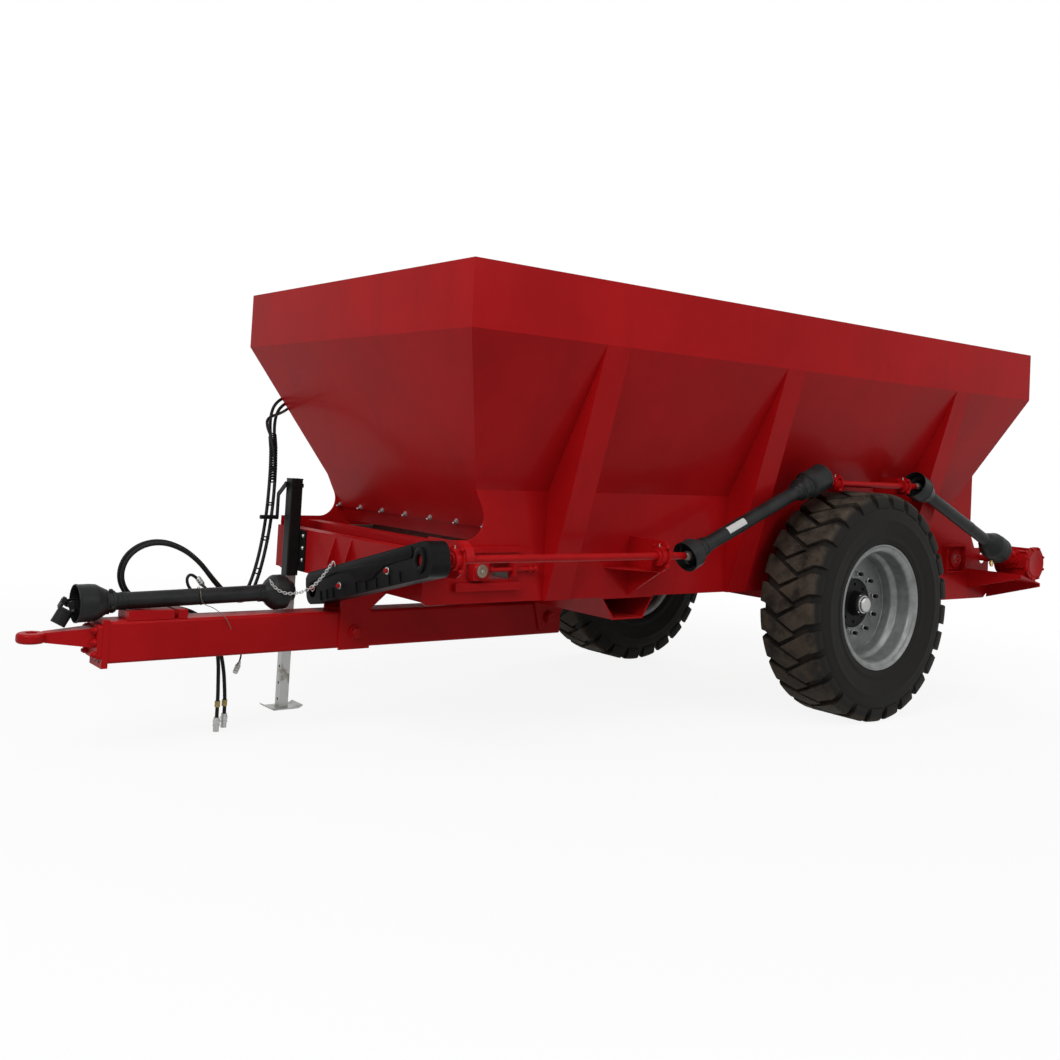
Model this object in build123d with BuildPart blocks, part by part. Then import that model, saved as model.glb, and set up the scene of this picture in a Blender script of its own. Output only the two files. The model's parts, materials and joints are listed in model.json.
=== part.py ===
"""Trailed manure spreader with a tapered hopper, a chain-and-slat floor and two spreading discs.

Frame: X points forward to the hitch, Y to the left, Z up. The ground is z = 0 and the origin
lies under the middle of the machine. All lengths are in millimetres.
"""

import os
from math import atan2, cos, degrees, hypot, pi, radians, sin, tan

from build123d import *

os.makedirs("parts", exist_ok=True)

# --- driving dimensions -------------------------------------------------------------------
axle_x = -1114            # wheel axle, behind the middle of the machine
plate = 8                 # side plates and brackets
thin_plate = 5            # ribs, covers and guards
fit_gap = 0.3             # play of a seated or turning piece
running_gap = 5.5         # least room beside a moving piece

# wheels: 15.5-25 implement tyres on ten-stud rims
wheel_radius = 638.5
lug_height = 27.5
section_half = 192
tread_half = 165
bead_radius = 318
rim_flange_radius = 351
rim_half = 158
rim_thickness = 12
disc_face_offset = -18    # wheel disc plane, from the middle of the wheel
lug_count = 25
lug_width = 112           # along the tread, where a lug runs straight out
lug_start = 52            # leading inner corner, from the tyre's middle
lug_cross = 48            # trailing inner corner, beyond the middle
lug_step = 54             # that corner lies this far behind the leading one
lug_bend = 138            # a lug turns straight out at this distance from the middle
lug_sweep = 51            # and has then run back this far
stud_circle = 335
stud_count = 10
stud_hole_radius = 12
hub_radius = 142
hub_flange_radius = 195
spindle_radius = 42
hub_end = 75              # cap end, outside the wheel's middle
axle_height = 113

# hopper, on the frame's lower edge, which lies on the axle
frame_z = wheel_radius + axle_height / 2
sheet = 6                 # hopper wall, measured level
hopper_front = axle_x + 2885
hopper_rear = axle_x - 1603
hopper_half = 1090        # half width at the rim
trough_half = 714         # outer face of the side plates
trough_top_z = frame_z + 523      # the slopes end on the side plates
band_bottom_z = trough_top_z + 696  # the upright band ends and the slopes begin
rim_z = band_bottom_z + 296
front_slope_run = 341
rear_slope_run = 231
front_panel_bottom_z = trough_top_z - 178
tie_diameter = 60
tie_z = band_bottom_z + 61

# side plates
side_bottom_z = frame_z
side_front_x = axle_x + 2812
side_front_z = frame_z + 290
side_front_radius = 95
side_rear_x = axle_x - 1600
side_tail_x = axle_x - 1840
side_tail_z = frame_z + 220
side_tail_bottom_z = frame_z - 120
side_step_x = axle_x - 1180
gusset_top_z = trough_top_z + 282
inner_half = trough_half - plate

# ribs
rib_width = 150
rib_foot = 21             # how far a rib stands out at the bottom edge
rib_centres = (axle_x + 2040, axle_x + 757, axle_x - 834)

# wheels stand beside the frame
wheel_room = 67           # between side plate and tyre
wheel_half_track = trough_half + wheel_room + section_half
carcass_radius = wheel_radius - lug_height

# drawbar and hitch
drawbar_half = 75
drawbar_height = 180
drawbar_top_z = frame_z - 115
drawbar_bottom_z = drawbar_top_z - drawbar_height
drawbar_wall = 10
drawbar_front = axle_x + 3973
drawbar_rear = axle_x + 1455
end_plate = 28
hitch_plate = 22
hitch_eye_x = axle_x + 4275
hitch_eye_z = drawbar_bottom_z + 118
hitch_eye_radius = 60
hitch_hole_radius = 25
hitch_eye_height = 42
pivot_x = axle_x + 2776
pivot_z = drawbar_bottom_z + 78
rear_bolt_x = axle_x + 1550
bolt_radius = 20

# conveyor floor
front_shaft_x = axle_x + 2515
rear_shaft_x = axle_x - 1390
floor_shaft_z = frame_z + 153
floor_shaft_radius = 30
sprocket_radius = 80      # chain centre line on the sprockets
chain_depth = 24
chain_width = 26
chain_line = inner_half - 51      # the two chains run at +y and -y of this
slat_count = 24
slat_width = 40
slat_rise = 18            # a slat stands this far above the chain's centre line
bed_thickness = 6

# front beam
beam_x = side_front_x + plate     # front face
beam_top_z = frame_z + 239
beam_bottom_z = frame_z + 17
beam_flange = 70
cover_x = axle_x + 2661
cover_depth = 76
cover_z = frame_z + 269

# drive line, outside the ribs
shaft_room = 58           # from a rib to the drive line's middle, at the trough's top
line_shaft_z = frame_z + 230
line_shaft_radius = 18
line_shaft_rear_plate_x = axle_x + 1559
line_shaft_front_plate_x = axle_x + 2795
upper_shaft_z = 2 * wheel_radius + 41      # clear of the tyre
upper_shaft_front_x = axle_x + 190
upper_shaft_rear_x = axle_x - 465
case_x = beam_x + 60      # rear face of the chain case
case_depth = 95
case_wall = 5
input_z = frame_z - 19
gearbox_x = axle_x - 1762
gearbox_z = floor_shaft_z
gearbox_tilt = 20

# spreading discs
disc_x = gearbox_x
disc_y = inner_half / 2
disc_radius = disc_y - 23
vane_tip_radius = disc_y - 8
disc_z = frame_z - 95
disc_plate = 6
vane_height = 50

# jack
jack_x = beam_x + 42
jack_y = -478
jack_size = 66
jack_top_z = frame_z + 499
jack_inner = 50
jack_wall = 5
jack_cap = 12
jack_stroke = 300


def save(builder, name):
    """Label a finished piece and write it."""
    builder.part.label = name
    export_step(builder.part, f"parts/{name}.step")


def side_view(y):
    """Sketch plane at y, with local x forward and local y up; extrusion goes to the right."""
    return Plane.XZ.offset(-y)


def front_view(x):
    """Sketch plane at x, with local x to the left and local y up; extrusion goes forward."""
    return Plane.YZ.offset(x)


def along(start, end):
    """Plane at start whose normal points to end."""
    way = Vector(*end) - Vector(*start)
    side = Vector(0, 1, 0)
    return Plane(origin=start, x_dir=side, z_dir=way)


# --- hopper -------------------------------------------------------------------------------
slope_height = band_bottom_z - trough_top_z
front_lean = front_slope_run / slope_height
rear_lean = rear_slope_run / slope_height
side_lean = (hopper_half - trough_half) / slope_height
rib_lean = (hopper_half - trough_half - rib_foot) / (band_bottom_z - side_bottom_z)
rib_edge = trough_half + rib_foot + rib_lean * (trough_top_z - side_bottom_z)
drive_y = rib_edge + shaft_room


def front_wall_x(z):
    """Outer face of the front slope, also continued below the hopper."""
    return hopper_front - front_lean * (band_bottom_z - z)


def rear_wall_x(z):
    """Outer face of the rear slope."""
    return hopper_rear + rear_lean * (band_bottom_z - z)


def side_wall_y(z):
    """Outer face of the side slope."""
    return hopper_half - side_lean * (band_bottom_z - z)


def hopper_outline(z, inset):
    """Rectangle of the hopper at height z, on the sketch plane of that height."""
    front, rear = front_wall_x(z), rear_wall_x(z)
    with Locations(((front + rear) / 2, 0)):
        Rectangle(front - rear - 2 * inset, 2 * (side_wall_y(z) - inset))


with BuildPart() as hopper:
    for inset, way in ((0, Mode.ADD), (sheet, Mode.SUBTRACT)):
        with BuildSketch(Plane.XY.offset(band_bottom_z)):
            hopper_outline(band_bottom_z, inset)
        extrude(amount=rim_z - band_bottom_z, mode=way)
        with BuildSketch(Plane.XY.offset(trough_top_z)):
            hopper_outline(trough_top_z, inset)
        with BuildSketch(Plane.XY.offset(band_bottom_z)):
            hopper_outline(band_bottom_z, inset)
        loft(mode=way)
    with BuildSketch(side_view(trough_half - plate)):
        Polygon(
            (front_wall_x(trough_top_z), trough_top_z),
            (front_wall_x(front_panel_bottom_z), front_panel_bottom_z),
            (front_wall_x(front_panel_bottom_z) - sheet, front_panel_bottom_z),
            (front_wall_x(trough_top_z) - sheet, trough_top_z),
            align=None,
        )
    extrude(amount=2 * (trough_half - plate))
save(hopper, "hopper")

tie_half = hopper_half - sheet
with BuildPart() as hopper_ties:
    for x in rib_centres:
        with BuildSketch(side_view(tie_half)):
            with Locations((x, tie_z)):
                Circle(tie_diameter / 2)
        extrude(amount=2 * tie_half)
save(hopper_ties, "hopper_ties")

# --- side plates ---------------------------------------------------------------------------
slot_rear_x = front_shaft_x - 190
slot_front_x = front_shaft_x + 55
slot_half = 45
shaft_hole_radius = floor_shaft_radius + 12
cross_shaft_hole_radius = 40
strip_stand = 26
strips = (
    (axle_x + 2271, axle_x + 2589, frame_z + 235, frame_z + 257),
    (axle_x + 2275, axle_x + 2646, frame_z + 59, frame_z + 95),
)
bracket_length = 222
bracket_height = 176
bracket_stand = 34

for side, sign in (("left", 1), ("right", -1)):
    outer = trough_half if sign > 0 else -trough_half + plate
    with BuildPart() as side_plate:
        with BuildSketch(side_view(outer)):
            with BuildLine():
                corner = (front_wall_x(side_front_z), side_front_z)
                FilletPolyline(
                    (front_wall_x(trough_top_z), trough_top_z),
                    corner,
                    (side_front_x, side_front_z),
                    radius=side_front_radius,
                )
                Polyline(
                    (side_front_x, side_front_z),
                    (side_front_x, beam_bottom_z),
                    (side_front_x - 25, side_bottom_z),
                    (side_step_x + 60, side_bottom_z),
                    (side_step_x - 60, side_tail_bottom_z),
                    (side_tail_x + 50, side_tail_bottom_z),
                    (side_tail_x, side_tail_bottom_z + 40),
                    (side_tail_x, side_tail_z),
                    (side_rear_x - 59, side_tail_z),
                    (side_rear_x, side_tail_z + 103),
                    (side_rear_x, gusset_top_z - 78),
                    (rear_wall_x(gusset_top_z), gusset_top_z),
                    (rear_wall_x(trough_top_z), trough_top_z),
                    (front_wall_x(trough_top_z), trough_top_z),
                )
            make_face()
            with Locations(((slot_rear_x + slot_front_x) / 2, floor_shaft_z)):
                Rectangle(slot_front_x - slot_rear_x, 2 * slot_half, mode=Mode.SUBTRACT)
            with Locations((rear_shaft_x, floor_shaft_z)):
                Circle(shaft_hole_radius, mode=Mode.SUBTRACT)
            if sign > 0:
                with Locations((gearbox_x, gearbox_z)):
                    Circle(cross_shaft_hole_radius, mode=Mode.SUBTRACT)
        extrude(amount=plate)
        stands = ((strip_stand, strips), (bracket_stand, ()))
        for stand, rails in stands:
            with BuildSketch(side_view(sign * trough_half + (stand if sign > 0 else 0))):
                for low_x, high_x, low_z, high_z in rails:
                    with Locations(((low_x + high_x) / 2, (low_z + high_z) / 2)):
                        Rectangle(high_x - low_x, high_z - low_z)
                if not rails:
                    with Locations((rear_shaft_x, floor_shaft_z)):
                        RectangleRounded(bracket_length, bracket_height, 14)
                        RectangleRounded(
                            bracket_length - 2 * plate, bracket_height - 2 * plate, 6, mode=Mode.SUBTRACT
                        )
            extrude(amount=stand)
    save(side_plate, f"side_plate_{side}")

# --- ribs ----------------------------------------------------------------------------------
for side, sign in (("left", 1), ("right", -1)):
    with BuildPart() as ribs:
        for x in rib_centres:
            with BuildSketch(front_view(x - rib_width / 2)):
                Polygon(
                    (sign * hopper_half, band_bottom_z),
                    (sign * trough_half, trough_top_z),
                    (sign * trough_half, side_bottom_z),
                    (sign * (trough_half + rib_foot), side_bottom_z),
                    align=None,
                )
            extrude(amount=rib_width)
            with BuildSketch(front_view(x - rib_width / 2 + thin_plate)):
                Polygon(
                    (sign * (hopper_half - thin_plate), band_bottom_z),
                    (sign * (trough_half - 40), band_bottom_z),
                    (sign * (trough_half - 40), side_bottom_z),
                    (sign * (trough_half + rib_foot - thin_plate), side_bottom_z),
                    align=None,
                )
            extrude(amount=rib_width - 2 * thin_plate, mode=Mode.SUBTRACT)
    save(ribs, f"ribs_{side}")

# --- rubber flap under the front panel -----------------------------------------------------
flap_thickness = 6
flap_top_z = front_panel_bottom_z + 55
flap_bottom_z = front_panel_bottom_z - 74
flap_half = trough_half - plate - 4

with BuildPart() as front_flap:
    with BuildSketch(side_view(flap_half)):
        back = front_wall_x(flap_top_z) - sheet - fit_gap
        low = front_wall_x(flap_bottom_z) - sheet - fit_gap
        Polygon(
            (back, flap_top_z),
            (low, flap_bottom_z),
            (low - flap_thickness, flap_bottom_z),
            (back - flap_thickness, flap_top_z),
            align=None,
        )
    extrude(amount=2 * flap_half)
save(front_flap, "front_flap")

# --- front beam, cover, floor and cross members ----------------------------------------------
with BuildPart() as front_beam:
    with BuildSketch(side_view(trough_half + 14)):
        Polygon(
            (beam_x, beam_bottom_z),
            (beam_x, beam_top_z),
            (beam_x - plate, beam_top_z),
            (beam_x - plate, beam_bottom_z),
            align=None,
        )
    extrude(amount=2 * (trough_half + 14))
    for z in (beam_top_z - plate, beam_bottom_z):
        with BuildSketch(Plane.XY.offset(z)):
            with Locations((beam_x - plate - beam_flange / 2, 0)):
                Rectangle(beam_flange, 2 * inner_half)
        extrude(amount=plate)
save(front_beam, "front_beam")

with BuildPart() as front_cover:
    with BuildSketch(side_view(inner_half)):
        Polygon(
            (cover_x, side_bottom_z + 20),
            (cover_x, cover_z),
            (cover_x - cover_depth, cover_z),
            (cover_x - cover_depth, cover_z - thin_plate),
            (cover_x - thin_plate, cover_z - thin_plate),
            (cover_x - thin_plate, side_bottom_z + 20),
            align=None,
        )
    extrude(amount=2 * inner_half)
save(front_cover, "front_cover")

bed_top_z = floor_shaft_z + sprocket_radius - chain_depth / 2 - 2
bed_front_x = front_shaft_x - 130
bed_rear_x = rear_shaft_x + 130
with BuildPart() as floor_plate:
    with BuildSketch(Plane.XY.offset(bed_top_z - bed_thickness)):
        with Locations(((bed_front_x + bed_rear_x) / 2, 0)):
            Rectangle(bed_front_x - bed_rear_x, 2 * inner_half)
    extrude(amount=bed_thickness)
save(floor_plate, "floor_plate")

member_width = 60
member_height = 70
member_positions = (
    front_shaft_x - 235,
    line_shaft_rear_plate_x - 59,
    rib_centres[1],
    axle_x,
    rib_centres[2],
    rear_shaft_x + 190,
)
with BuildPart() as floor_members:
    for x in member_positions:
        with BuildSketch(Plane.XY.offset(bed_top_z - bed_thickness - member_height)):
            with Locations((x, 0)):
                Rectangle(member_width, 2 * inner_half)
        extrude(amount=member_height)
save(floor_members, "floor_members")

# trapezoid member that carries the rear of the drawbar
hanger_top_rear = rear_bolt_x - 178
hanger_top_front = rear_bolt_x + 183
hanger_low_rear = rear_bolt_x - 108
hanger_low_front = rear_bolt_x + 101
hanger_bottom_z = drawbar_top_z
with BuildPart() as hanger_member:
    with BuildSketch(side_view(trough_half)):
        Polygon(
            (hanger_top_rear, side_bottom_z),
            (hanger_top_front, side_bottom_z),
            (hanger_low_front, hanger_bottom_z),
            (hanger_low_rear, hanger_bottom_z),
            align=None,
        )
        Polygon(
            (hanger_top_rear + 12, side_bottom_z - plate),
            (hanger_top_front - 12, side_bottom_z - plate),
            (hanger_low_front - 8, hanger_bottom_z + plate),
            (hanger_low_rear + 8, hanger_bottom_z + plate),
            align=None,
            mode=Mode.SUBTRACT,
        )
    extrude(amount=2 * trough_half)
save(hanger_member, "hanger_member")

# --- chain-and-slat floor --------------------------------------------------------------------
shaft_span = front_shaft_x - rear_shaft_x
shaft_middle = (front_shaft_x + rear_shaft_x) / 2
half_turn = pi * sprocket_radius
loop_length = 2 * shaft_span + 2 * half_turn


def loop_place(distance):
    """Point and travel angle on the chain's loop, counted from the rear end of its top run."""
    if distance < shaft_span:
        return rear_shaft_x + distance, floor_shaft_z + sprocket_radius, 0
    distance -= shaft_span
    if distance < half_turn:
        turn = distance / sprocket_radius
        x = front_shaft_x + sprocket_radius * sin(turn)
        return x, floor_shaft_z + sprocket_radius * cos(turn), -degrees(turn)
    distance -= half_turn
    if distance < shaft_span:
        return front_shaft_x - distance, floor_shaft_z - sprocket_radius, -180
    turn = (distance - shaft_span) / sprocket_radius
    x = rear_shaft_x - sprocket_radius * sin(turn)
    return x, floor_shaft_z - sprocket_radius * cos(turn), -180 - degrees(turn)


with BuildPart() as floor_chains:
    for y in (chain_line, -chain_line):
        with BuildSketch(side_view(y + chain_width / 2)):
            for reach, way in ((chain_depth / 2, Mode.ADD), (-chain_depth / 2, Mode.SUBTRACT)):
                with Locations((shaft_middle, floor_shaft_z)):
                    SlotCenterToCenter(shaft_span, 2 * (sprocket_radius + reach), mode=way)
        extrude(amount=chain_width)
save(floor_chains, "floor_chains")

slat_half = chain_line - chain_width / 2
slat_depth = slat_rise + chain_depth / 2
with BuildPart() as floor_slats:
    for i in range(slat_count):
        x, z, angle = loop_place((i + 0.5) * loop_length / slat_count)
        with BuildSketch(side_view(slat_half)):
            with Locations(Location((x, z, 0), (0, 0, angle))):
                with Locations((0, slat_rise - slat_depth / 2)):
                    Rectangle(slat_width, slat_depth)
        extrude(amount=2 * slat_half)
save(floor_slats, "floor_slats")

sprocket_teeth = 8
sprocket_face = 16
sprocket_body = sprocket_radius - chain_depth / 2 - fit_gap
shaft_end = 46
for name, x in (("front_floor_shaft", front_shaft_x), ("rear_floor_shaft", rear_shaft_x)):
    with BuildPart() as floor_shaft:
        with BuildSketch(side_view(trough_half + shaft_end)):
            with Locations((x, floor_shaft_z)):
                Circle(floor_shaft_radius)
        extrude(amount=2 * (trough_half + shaft_end))
        for y in (chain_line, -chain_line):
            with BuildSketch(side_view(y + sprocket_face / 2)):
                with Locations((x, floor_shaft_z)):
                    RegularPolygon(sprocket_body, sprocket_teeth)
            extrude(amount=sprocket_face)
    save(floor_shaft, name)

# bearings of the floor shafts: sliding blocks in front, square flanges at the back
block_size = 88
block_depth = 44
screw_radius = 10
bearing_bore = floor_shaft_radius + fit_gap
with BuildPart() as tensioners:
    for sign in (1, -1):
        face = trough_half if sign > 0 else -trough_half + block_depth - plate
        with BuildSketch(side_view(face + (block_depth - plate if sign > 0 else 0))):
            with Locations((front_shaft_x, floor_shaft_z)):
                Rectangle(block_size, block_size)
                Circle(bearing_bore, mode=Mode.SUBTRACT)
        extrude(amount=block_depth)
        screw_y = sign * (trough_half + screw_radius + 1)
        with BuildSketch(front_view(front_shaft_x - 330)):
            with Locations((screw_y, floor_shaft_z)):
                Circle(screw_radius)
        extrude(amount=330 - block_size / 2)
        with BuildSketch(front_view(slot_rear_x - 20)):
            with Locations((sign * (trough_half + 15), floor_shaft_z)):
                Rectangle(30, 60)
        extrude(amount=16)
save(tensioners, "tensioners")

flange_size = 150
with BuildPart() as rear_bearings:
    for sign in (1, -1):
        for start, reach, radius in ((trough_half, 10, 0), (trough_half + 10, 20, 55)):
            high = sign * start if sign < 0 else start + reach
            with BuildSketch(side_view(high)):
                with Locations((rear_shaft_x, floor_shaft_z)):
                    if radius:
                        Circle(radius)
                    else:
                        RectangleRounded(flange_size, flange_size, 18)
                    Circle(bearing_bore, mode=Mode.SUBTRACT)
            extrude(amount=reach)
save(rear_bearings, "rear_bearings")

# --- axle and wheels -------------------------------------------------------------------------
axle_half = wheel_half_track - 127
spindle_end = wheel_half_track + 28
with BuildPart() as axle_beam:
    with BuildSketch(side_view(axle_half)):
        with Locations((axle_x, wheel_radius)):
            Rectangle(axle_height, axle_height)
    extrude(amount=2 * axle_half)
    with BuildSketch(side_view(spindle_end)):
        with Locations((axle_x, wheel_radius)):
            Circle(spindle_radius)
    extrude(amount=2 * spindle_end)
save(axle_beam, "axle_beam")

axle_line = Axis((axle_x, 0, wheel_radius), (0, 1, 0))
wheel_section = Plane(origin=(axle_x, 0, wheel_radius), x_dir=(0, 1, 0), z_dir=(1, 0, 0))

with BuildPart() as lug:
    with BuildSketch(Plane(origin=(axle_x, 0, 2 * wheel_radius + 1), x_dir=(0, 1, 0), z_dir=(0, 0, -1))):
        Polygon(
            (lug_start, 0),
            (lug_bend, -lug_sweep),
            (section_half, -lug_sweep),
            (section_half, -lug_sweep - lug_width),
            (lug_bend, -lug_sweep - lug_width),
            (-lug_cross, -lug_step),
            align=None,
        )
    extrude(amount=130)
    with BuildSketch(wheel_section):
        Polygon(
            (-lug_cross - 5, carcass_radius - 8),
            (-lug_cross - 5, wheel_radius),
            (tread_half - 12, wheel_radius),
            (tread_half + 14, wheel_radius - 24),
            (tread_half + 21, wheel_radius - 78),
            (tread_half - 5, wheel_radius - 78),
            (tread_half - 30, carcass_radius - 8),
            align=None,
        )
    revolve(axis=axle_line, mode=Mode.INTERSECT)

tyre_wall = 24
with BuildPart() as tyre:
    with BuildSketch(wheel_section):
        half_outline = (
            (rim_half - fit_gap, bead_radius + fit_gap),
            (rim_half + 3 - fit_gap, rim_flange_radius + 1),
            (rim_half + 16, rim_flange_radius + 12),
            (section_half, bead_radius + 112),
            (section_half, carcass_radius - 111),
            (tread_half - 12, carcass_radius),
        )
        half_cavity = (
            (rim_half - tyre_wall, bead_radius),
            (section_half - tyre_wall, (bead_radius + carcass_radius) / 2),
            (tread_half - 40, carcass_radius - tyre_wall),
        )
        for half, way in ((half_outline, Mode.ADD), (half_cavity, Mode.SUBTRACT)):
            other = tuple((-y, r) for y, r in half)
            Polygon(*half, *reversed(other), align=None, mode=way)
    revolve(axis=axle_line)
    pitch = 360 / lug_count
    near_lugs = [lug.part.rotate(axle_line, i * pitch) for i in range(lug_count)]
    far_lug = lug.part.mirror(Plane.XZ).rotate(axle_line, pitch / 2)
    far_lugs = [far_lug.rotate(axle_line, i * pitch) for i in range(lug_count)]
    add(near_lugs + far_lugs)

disc_outer = disc_face_offset
well_radius = bead_radius - 28
with BuildPart() as rim:
    with BuildSketch(wheel_section):
        Polygon(
            (-rim_half, bead_radius),
            (-rim_half - 3, rim_flange_radius),
            (-rim_half - 11, rim_flange_radius),
            (-rim_half - 11, bead_radius - rim_thickness),
            (-rim_half + 53, bead_radius - rim_thickness - 4),
            (-60, well_radius - rim_thickness),
            (disc_outer - 14, well_radius - rim_thickness),
            (disc_outer - 14, hub_radius + fit_gap),
            (disc_outer, hub_radius + fit_gap),
            (disc_outer, well_radius - rim_thickness),
            (50, well_radius - rim_thickness),
            (rim_half - 48, bead_radius - rim_thickness - 10),
            (rim_half + 11, bead_radius - rim_thickness),
            (rim_half + 11, rim_flange_radius),
            (rim_half + 3, rim_flange_radius),
            (rim_half, bead_radius),
            (rim_half - 48, bead_radius - 10),
            (50, well_radius),
            (-60, well_radius),
            (-rim_half + 53, bead_radius - 4),
            align=None,
        )
    revolve(axis=axle_line)
    with BuildSketch(side_view(0)):
        with Locations((axle_x, wheel_radius)):
            with PolarLocations(stud_circle / 2, stud_count):
                Circle(stud_hole_radius)
    extrude(amount=2 * rim_half, both=True, mode=Mode.SUBTRACT)

nut_radius = 17
nut_height = 20
stud_radius = 11
cap_radius = 50
with BuildPart() as hub:
    with BuildSketch(wheel_section):
        Polygon(
            (-110, spindle_radius + fit_gap),
            (-110, 95),
            (-50, 95),
            (disc_outer - 14 - 14, hub_flange_radius),
            (disc_outer - 14, hub_flange_radius),
            (disc_outer - 14, hub_radius),
            (disc_outer + 8, hub_radius),
            (disc_outer + 22, hub_radius - 22),
            (hub_end - 30, 78),
            (hub_end - 26, cap_radius),
            (hub_end, cap_radius - 6),
            (hub_end, 0),
            (spindle_end - wheel_half_track + fit_gap, 0),
            (spindle_end - wheel_half_track + fit_gap, spindle_radius + fit_gap),
            align=None,
        )
    revolve(axis=axle_line)
    with BuildSketch(side_view(disc_outer + nut_height + 12)):
        with Locations((axle_x, wheel_radius)):
            with PolarLocations(stud_circle / 2, stud_count):
                Circle(stud_radius)
    extrude(amount=nut_height + 12 + 20)
    with BuildSketch(side_view(disc_outer + nut_height + fit_gap)):
        with Locations((axle_x, wheel_radius)):
            with PolarLocations(stud_circle / 2, stud_count):
                RegularPolygon(nut_radius, 6)
    extrude(amount=nut_height)

for name, builder in (("tyre", tyre), ("rim", rim), ("hub", hub)):
    left = builder.part.moved(Location((0, wheel_half_track, 0)))
    right = left.mirror(Plane.XZ)
    for side, piece in (("left", left), ("right", right)):
        piece.label = f"{name}_{side}"
        export_step(piece, f"parts/{name}_{side}.step")

# --- drawbar, its brackets and the hitch ------------------------------------------------------
drawbar_z = (drawbar_bottom_z + drawbar_top_z) / 2
end_bottom_z = drawbar_bottom_z - 18
end_top_z = drawbar_top_z + 8
with BuildPart() as drawbar:
    with BuildSketch(front_view(drawbar_rear)):
        with Locations((0, drawbar_z)):
            RectangleRounded(2 * drawbar_half, drawbar_height, 14)
            RectangleRounded(
                2 * (drawbar_half - drawbar_wall),
                drawbar_height - 2 * drawbar_wall,
                6,
                mode=Mode.SUBTRACT,
            )
    extrude(amount=drawbar_front - drawbar_rear)
    with BuildSketch(front_view(drawbar_front)):
        with Locations((0, (end_bottom_z + end_top_z) / 2)):
            Rectangle(2 * drawbar_half + 6, end_top_z - end_bottom_z)
        with Locations((0, end_bottom_z + 26)):
            with GridLocations(45, 1, 3, 1):
                Circle(7, mode=Mode.SUBTRACT)
    extrude(amount=end_plate)
    for x in (pivot_x, rear_bolt_x):
        with BuildSketch(side_view(drawbar_half)):
            with Locations((x, pivot_z)):
                Circle(bolt_radius + fit_gap)
        extrude(amount=2 * drawbar_half, mode=Mode.SUBTRACT)
save(drawbar, "drawbar")

bracket = 12
bracket_gap = 0.5
bracket_inner = drawbar_half + bracket_gap
bolt_head = 14
with BuildPart() as front_brackets:
    for sign in (1, -1):
        outer = bracket_inner + bracket if sign > 0 else -bracket_inner
        with BuildSketch(side_view(outer)):
            Polygon(
                (beam_x, beam_top_z - 4),
                (beam_x + 40, beam_top_z - 130),
                (beam_x + 40, drawbar_bottom_z - 6),
                (beam_x - 130, drawbar_bottom_z - 6),
                (beam_x - 130, drawbar_top_z + 10),
                (beam_x - 255, side_bottom_z - 2),
                (beam_x - 150, beam_bottom_z - fit_gap),
                (beam_x, beam_bottom_z - fit_gap),
                align=None,
            )
            with Locations((pivot_x, pivot_z)):
                Circle(bolt_radius, mode=Mode.SUBTRACT)
        extrude(amount=bracket)
    bolt_half = bracket_inner + bracket + bolt_head
    with BuildSketch(side_view(bolt_half)):
        with Locations((pivot_x, pivot_z)):
            Circle(bolt_radius)
    extrude(amount=2 * bolt_half)
    for sign in (1, -1):
        with BuildSketch(side_view(bolt_half if sign > 0 else -bolt_half + bolt_head)):
            with Locations((pivot_x, pivot_z)):
                Circle(bolt_radius + 14)
        extrude(amount=bolt_head)
save(front_brackets, "front_brackets")

with BuildPart() as rear_brackets:
    for sign in (1, -1):
        outer = bracket_inner + bracket if sign > 0 else -bracket_inner
        with BuildSketch(side_view(outer)):
            with BuildLine():
                FilletPolyline(
                    (hanger_low_rear, hanger_bottom_z),
                    (rear_bolt_x - 60, pivot_z - 60),
                    (rear_bolt_x + 60, pivot_z - 60),
                    (hanger_low_front, hanger_bottom_z),
                    radius=30,
                )
                Line((hanger_low_front, hanger_bottom_z), (hanger_low_rear, hanger_bottom_z))
            make_face()
        extrude(amount=bracket)
    with BuildSketch(side_view(bolt_half)):
        with Locations((rear_bolt_x, pivot_z)):
            Circle(bolt_radius)
    extrude(amount=2 * bolt_half)
save(rear_brackets, "rear_brackets")

hitch_face = drawbar_front + end_plate
bar_front = hitch_eye_x - 50
with BuildPart() as hitch_eye:
    with BuildSketch(front_view(hitch_face)):
        with Locations((0, hitch_eye_z - 24)):
            RectangleRounded(150, 144, 10)
    extrude(amount=hitch_plate)
    with BuildSketch(front_view(hitch_face + hitch_plate)):
        with Locations((0, hitch_eye_z - 8)):
            Rectangle(96, 84)
    with BuildSketch(front_view(bar_front)):
        with Locations((0, hitch_eye_z)):
            Rectangle(52, hitch_eye_height)
    loft()
    with BuildSketch(Plane.XZ):
        with BuildLine():
            inner = hitch_eye_x + hitch_hole_radius - 1
            low = hitch_eye_z - hitch_eye_height / 2
            high = hitch_eye_z + hitch_eye_height / 2
            outer = hitch_eye_x + hitch_eye_radius
            ring = FilletPolyline((inner, low), (outer, low), (outer, high), (inner, high), radius=13)
            Line(ring @ 1, ring @ 0)
        make_face()
    revolve(axis=Axis((hitch_eye_x, 0, 0), (0, 0, 1)))
    with BuildSketch(Plane.XY.offset(hitch_eye_z - hitch_eye_height / 2)):
        with Locations((hitch_eye_x, 0)):
            Circle(hitch_hole_radius)
    extrude(amount=hitch_eye_height, mode=Mode.SUBTRACT)
save(hitch_eye, "hitch_eye")

# --- input shaft on the drawbar ---------------------------------------------------------------
tube_radius = 38
bell_radius = 81
bell_wall = 4
pto_front = (hitch_eye_x - 170, 0, drawbar_top_z + 73)
pto_rear = (case_x + case_depth + 110, 0, input_z - 1)
pto_length = (Vector(*pto_rear) - Vector(*pto_front)).length
inner_shaft_radius = 24


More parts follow.
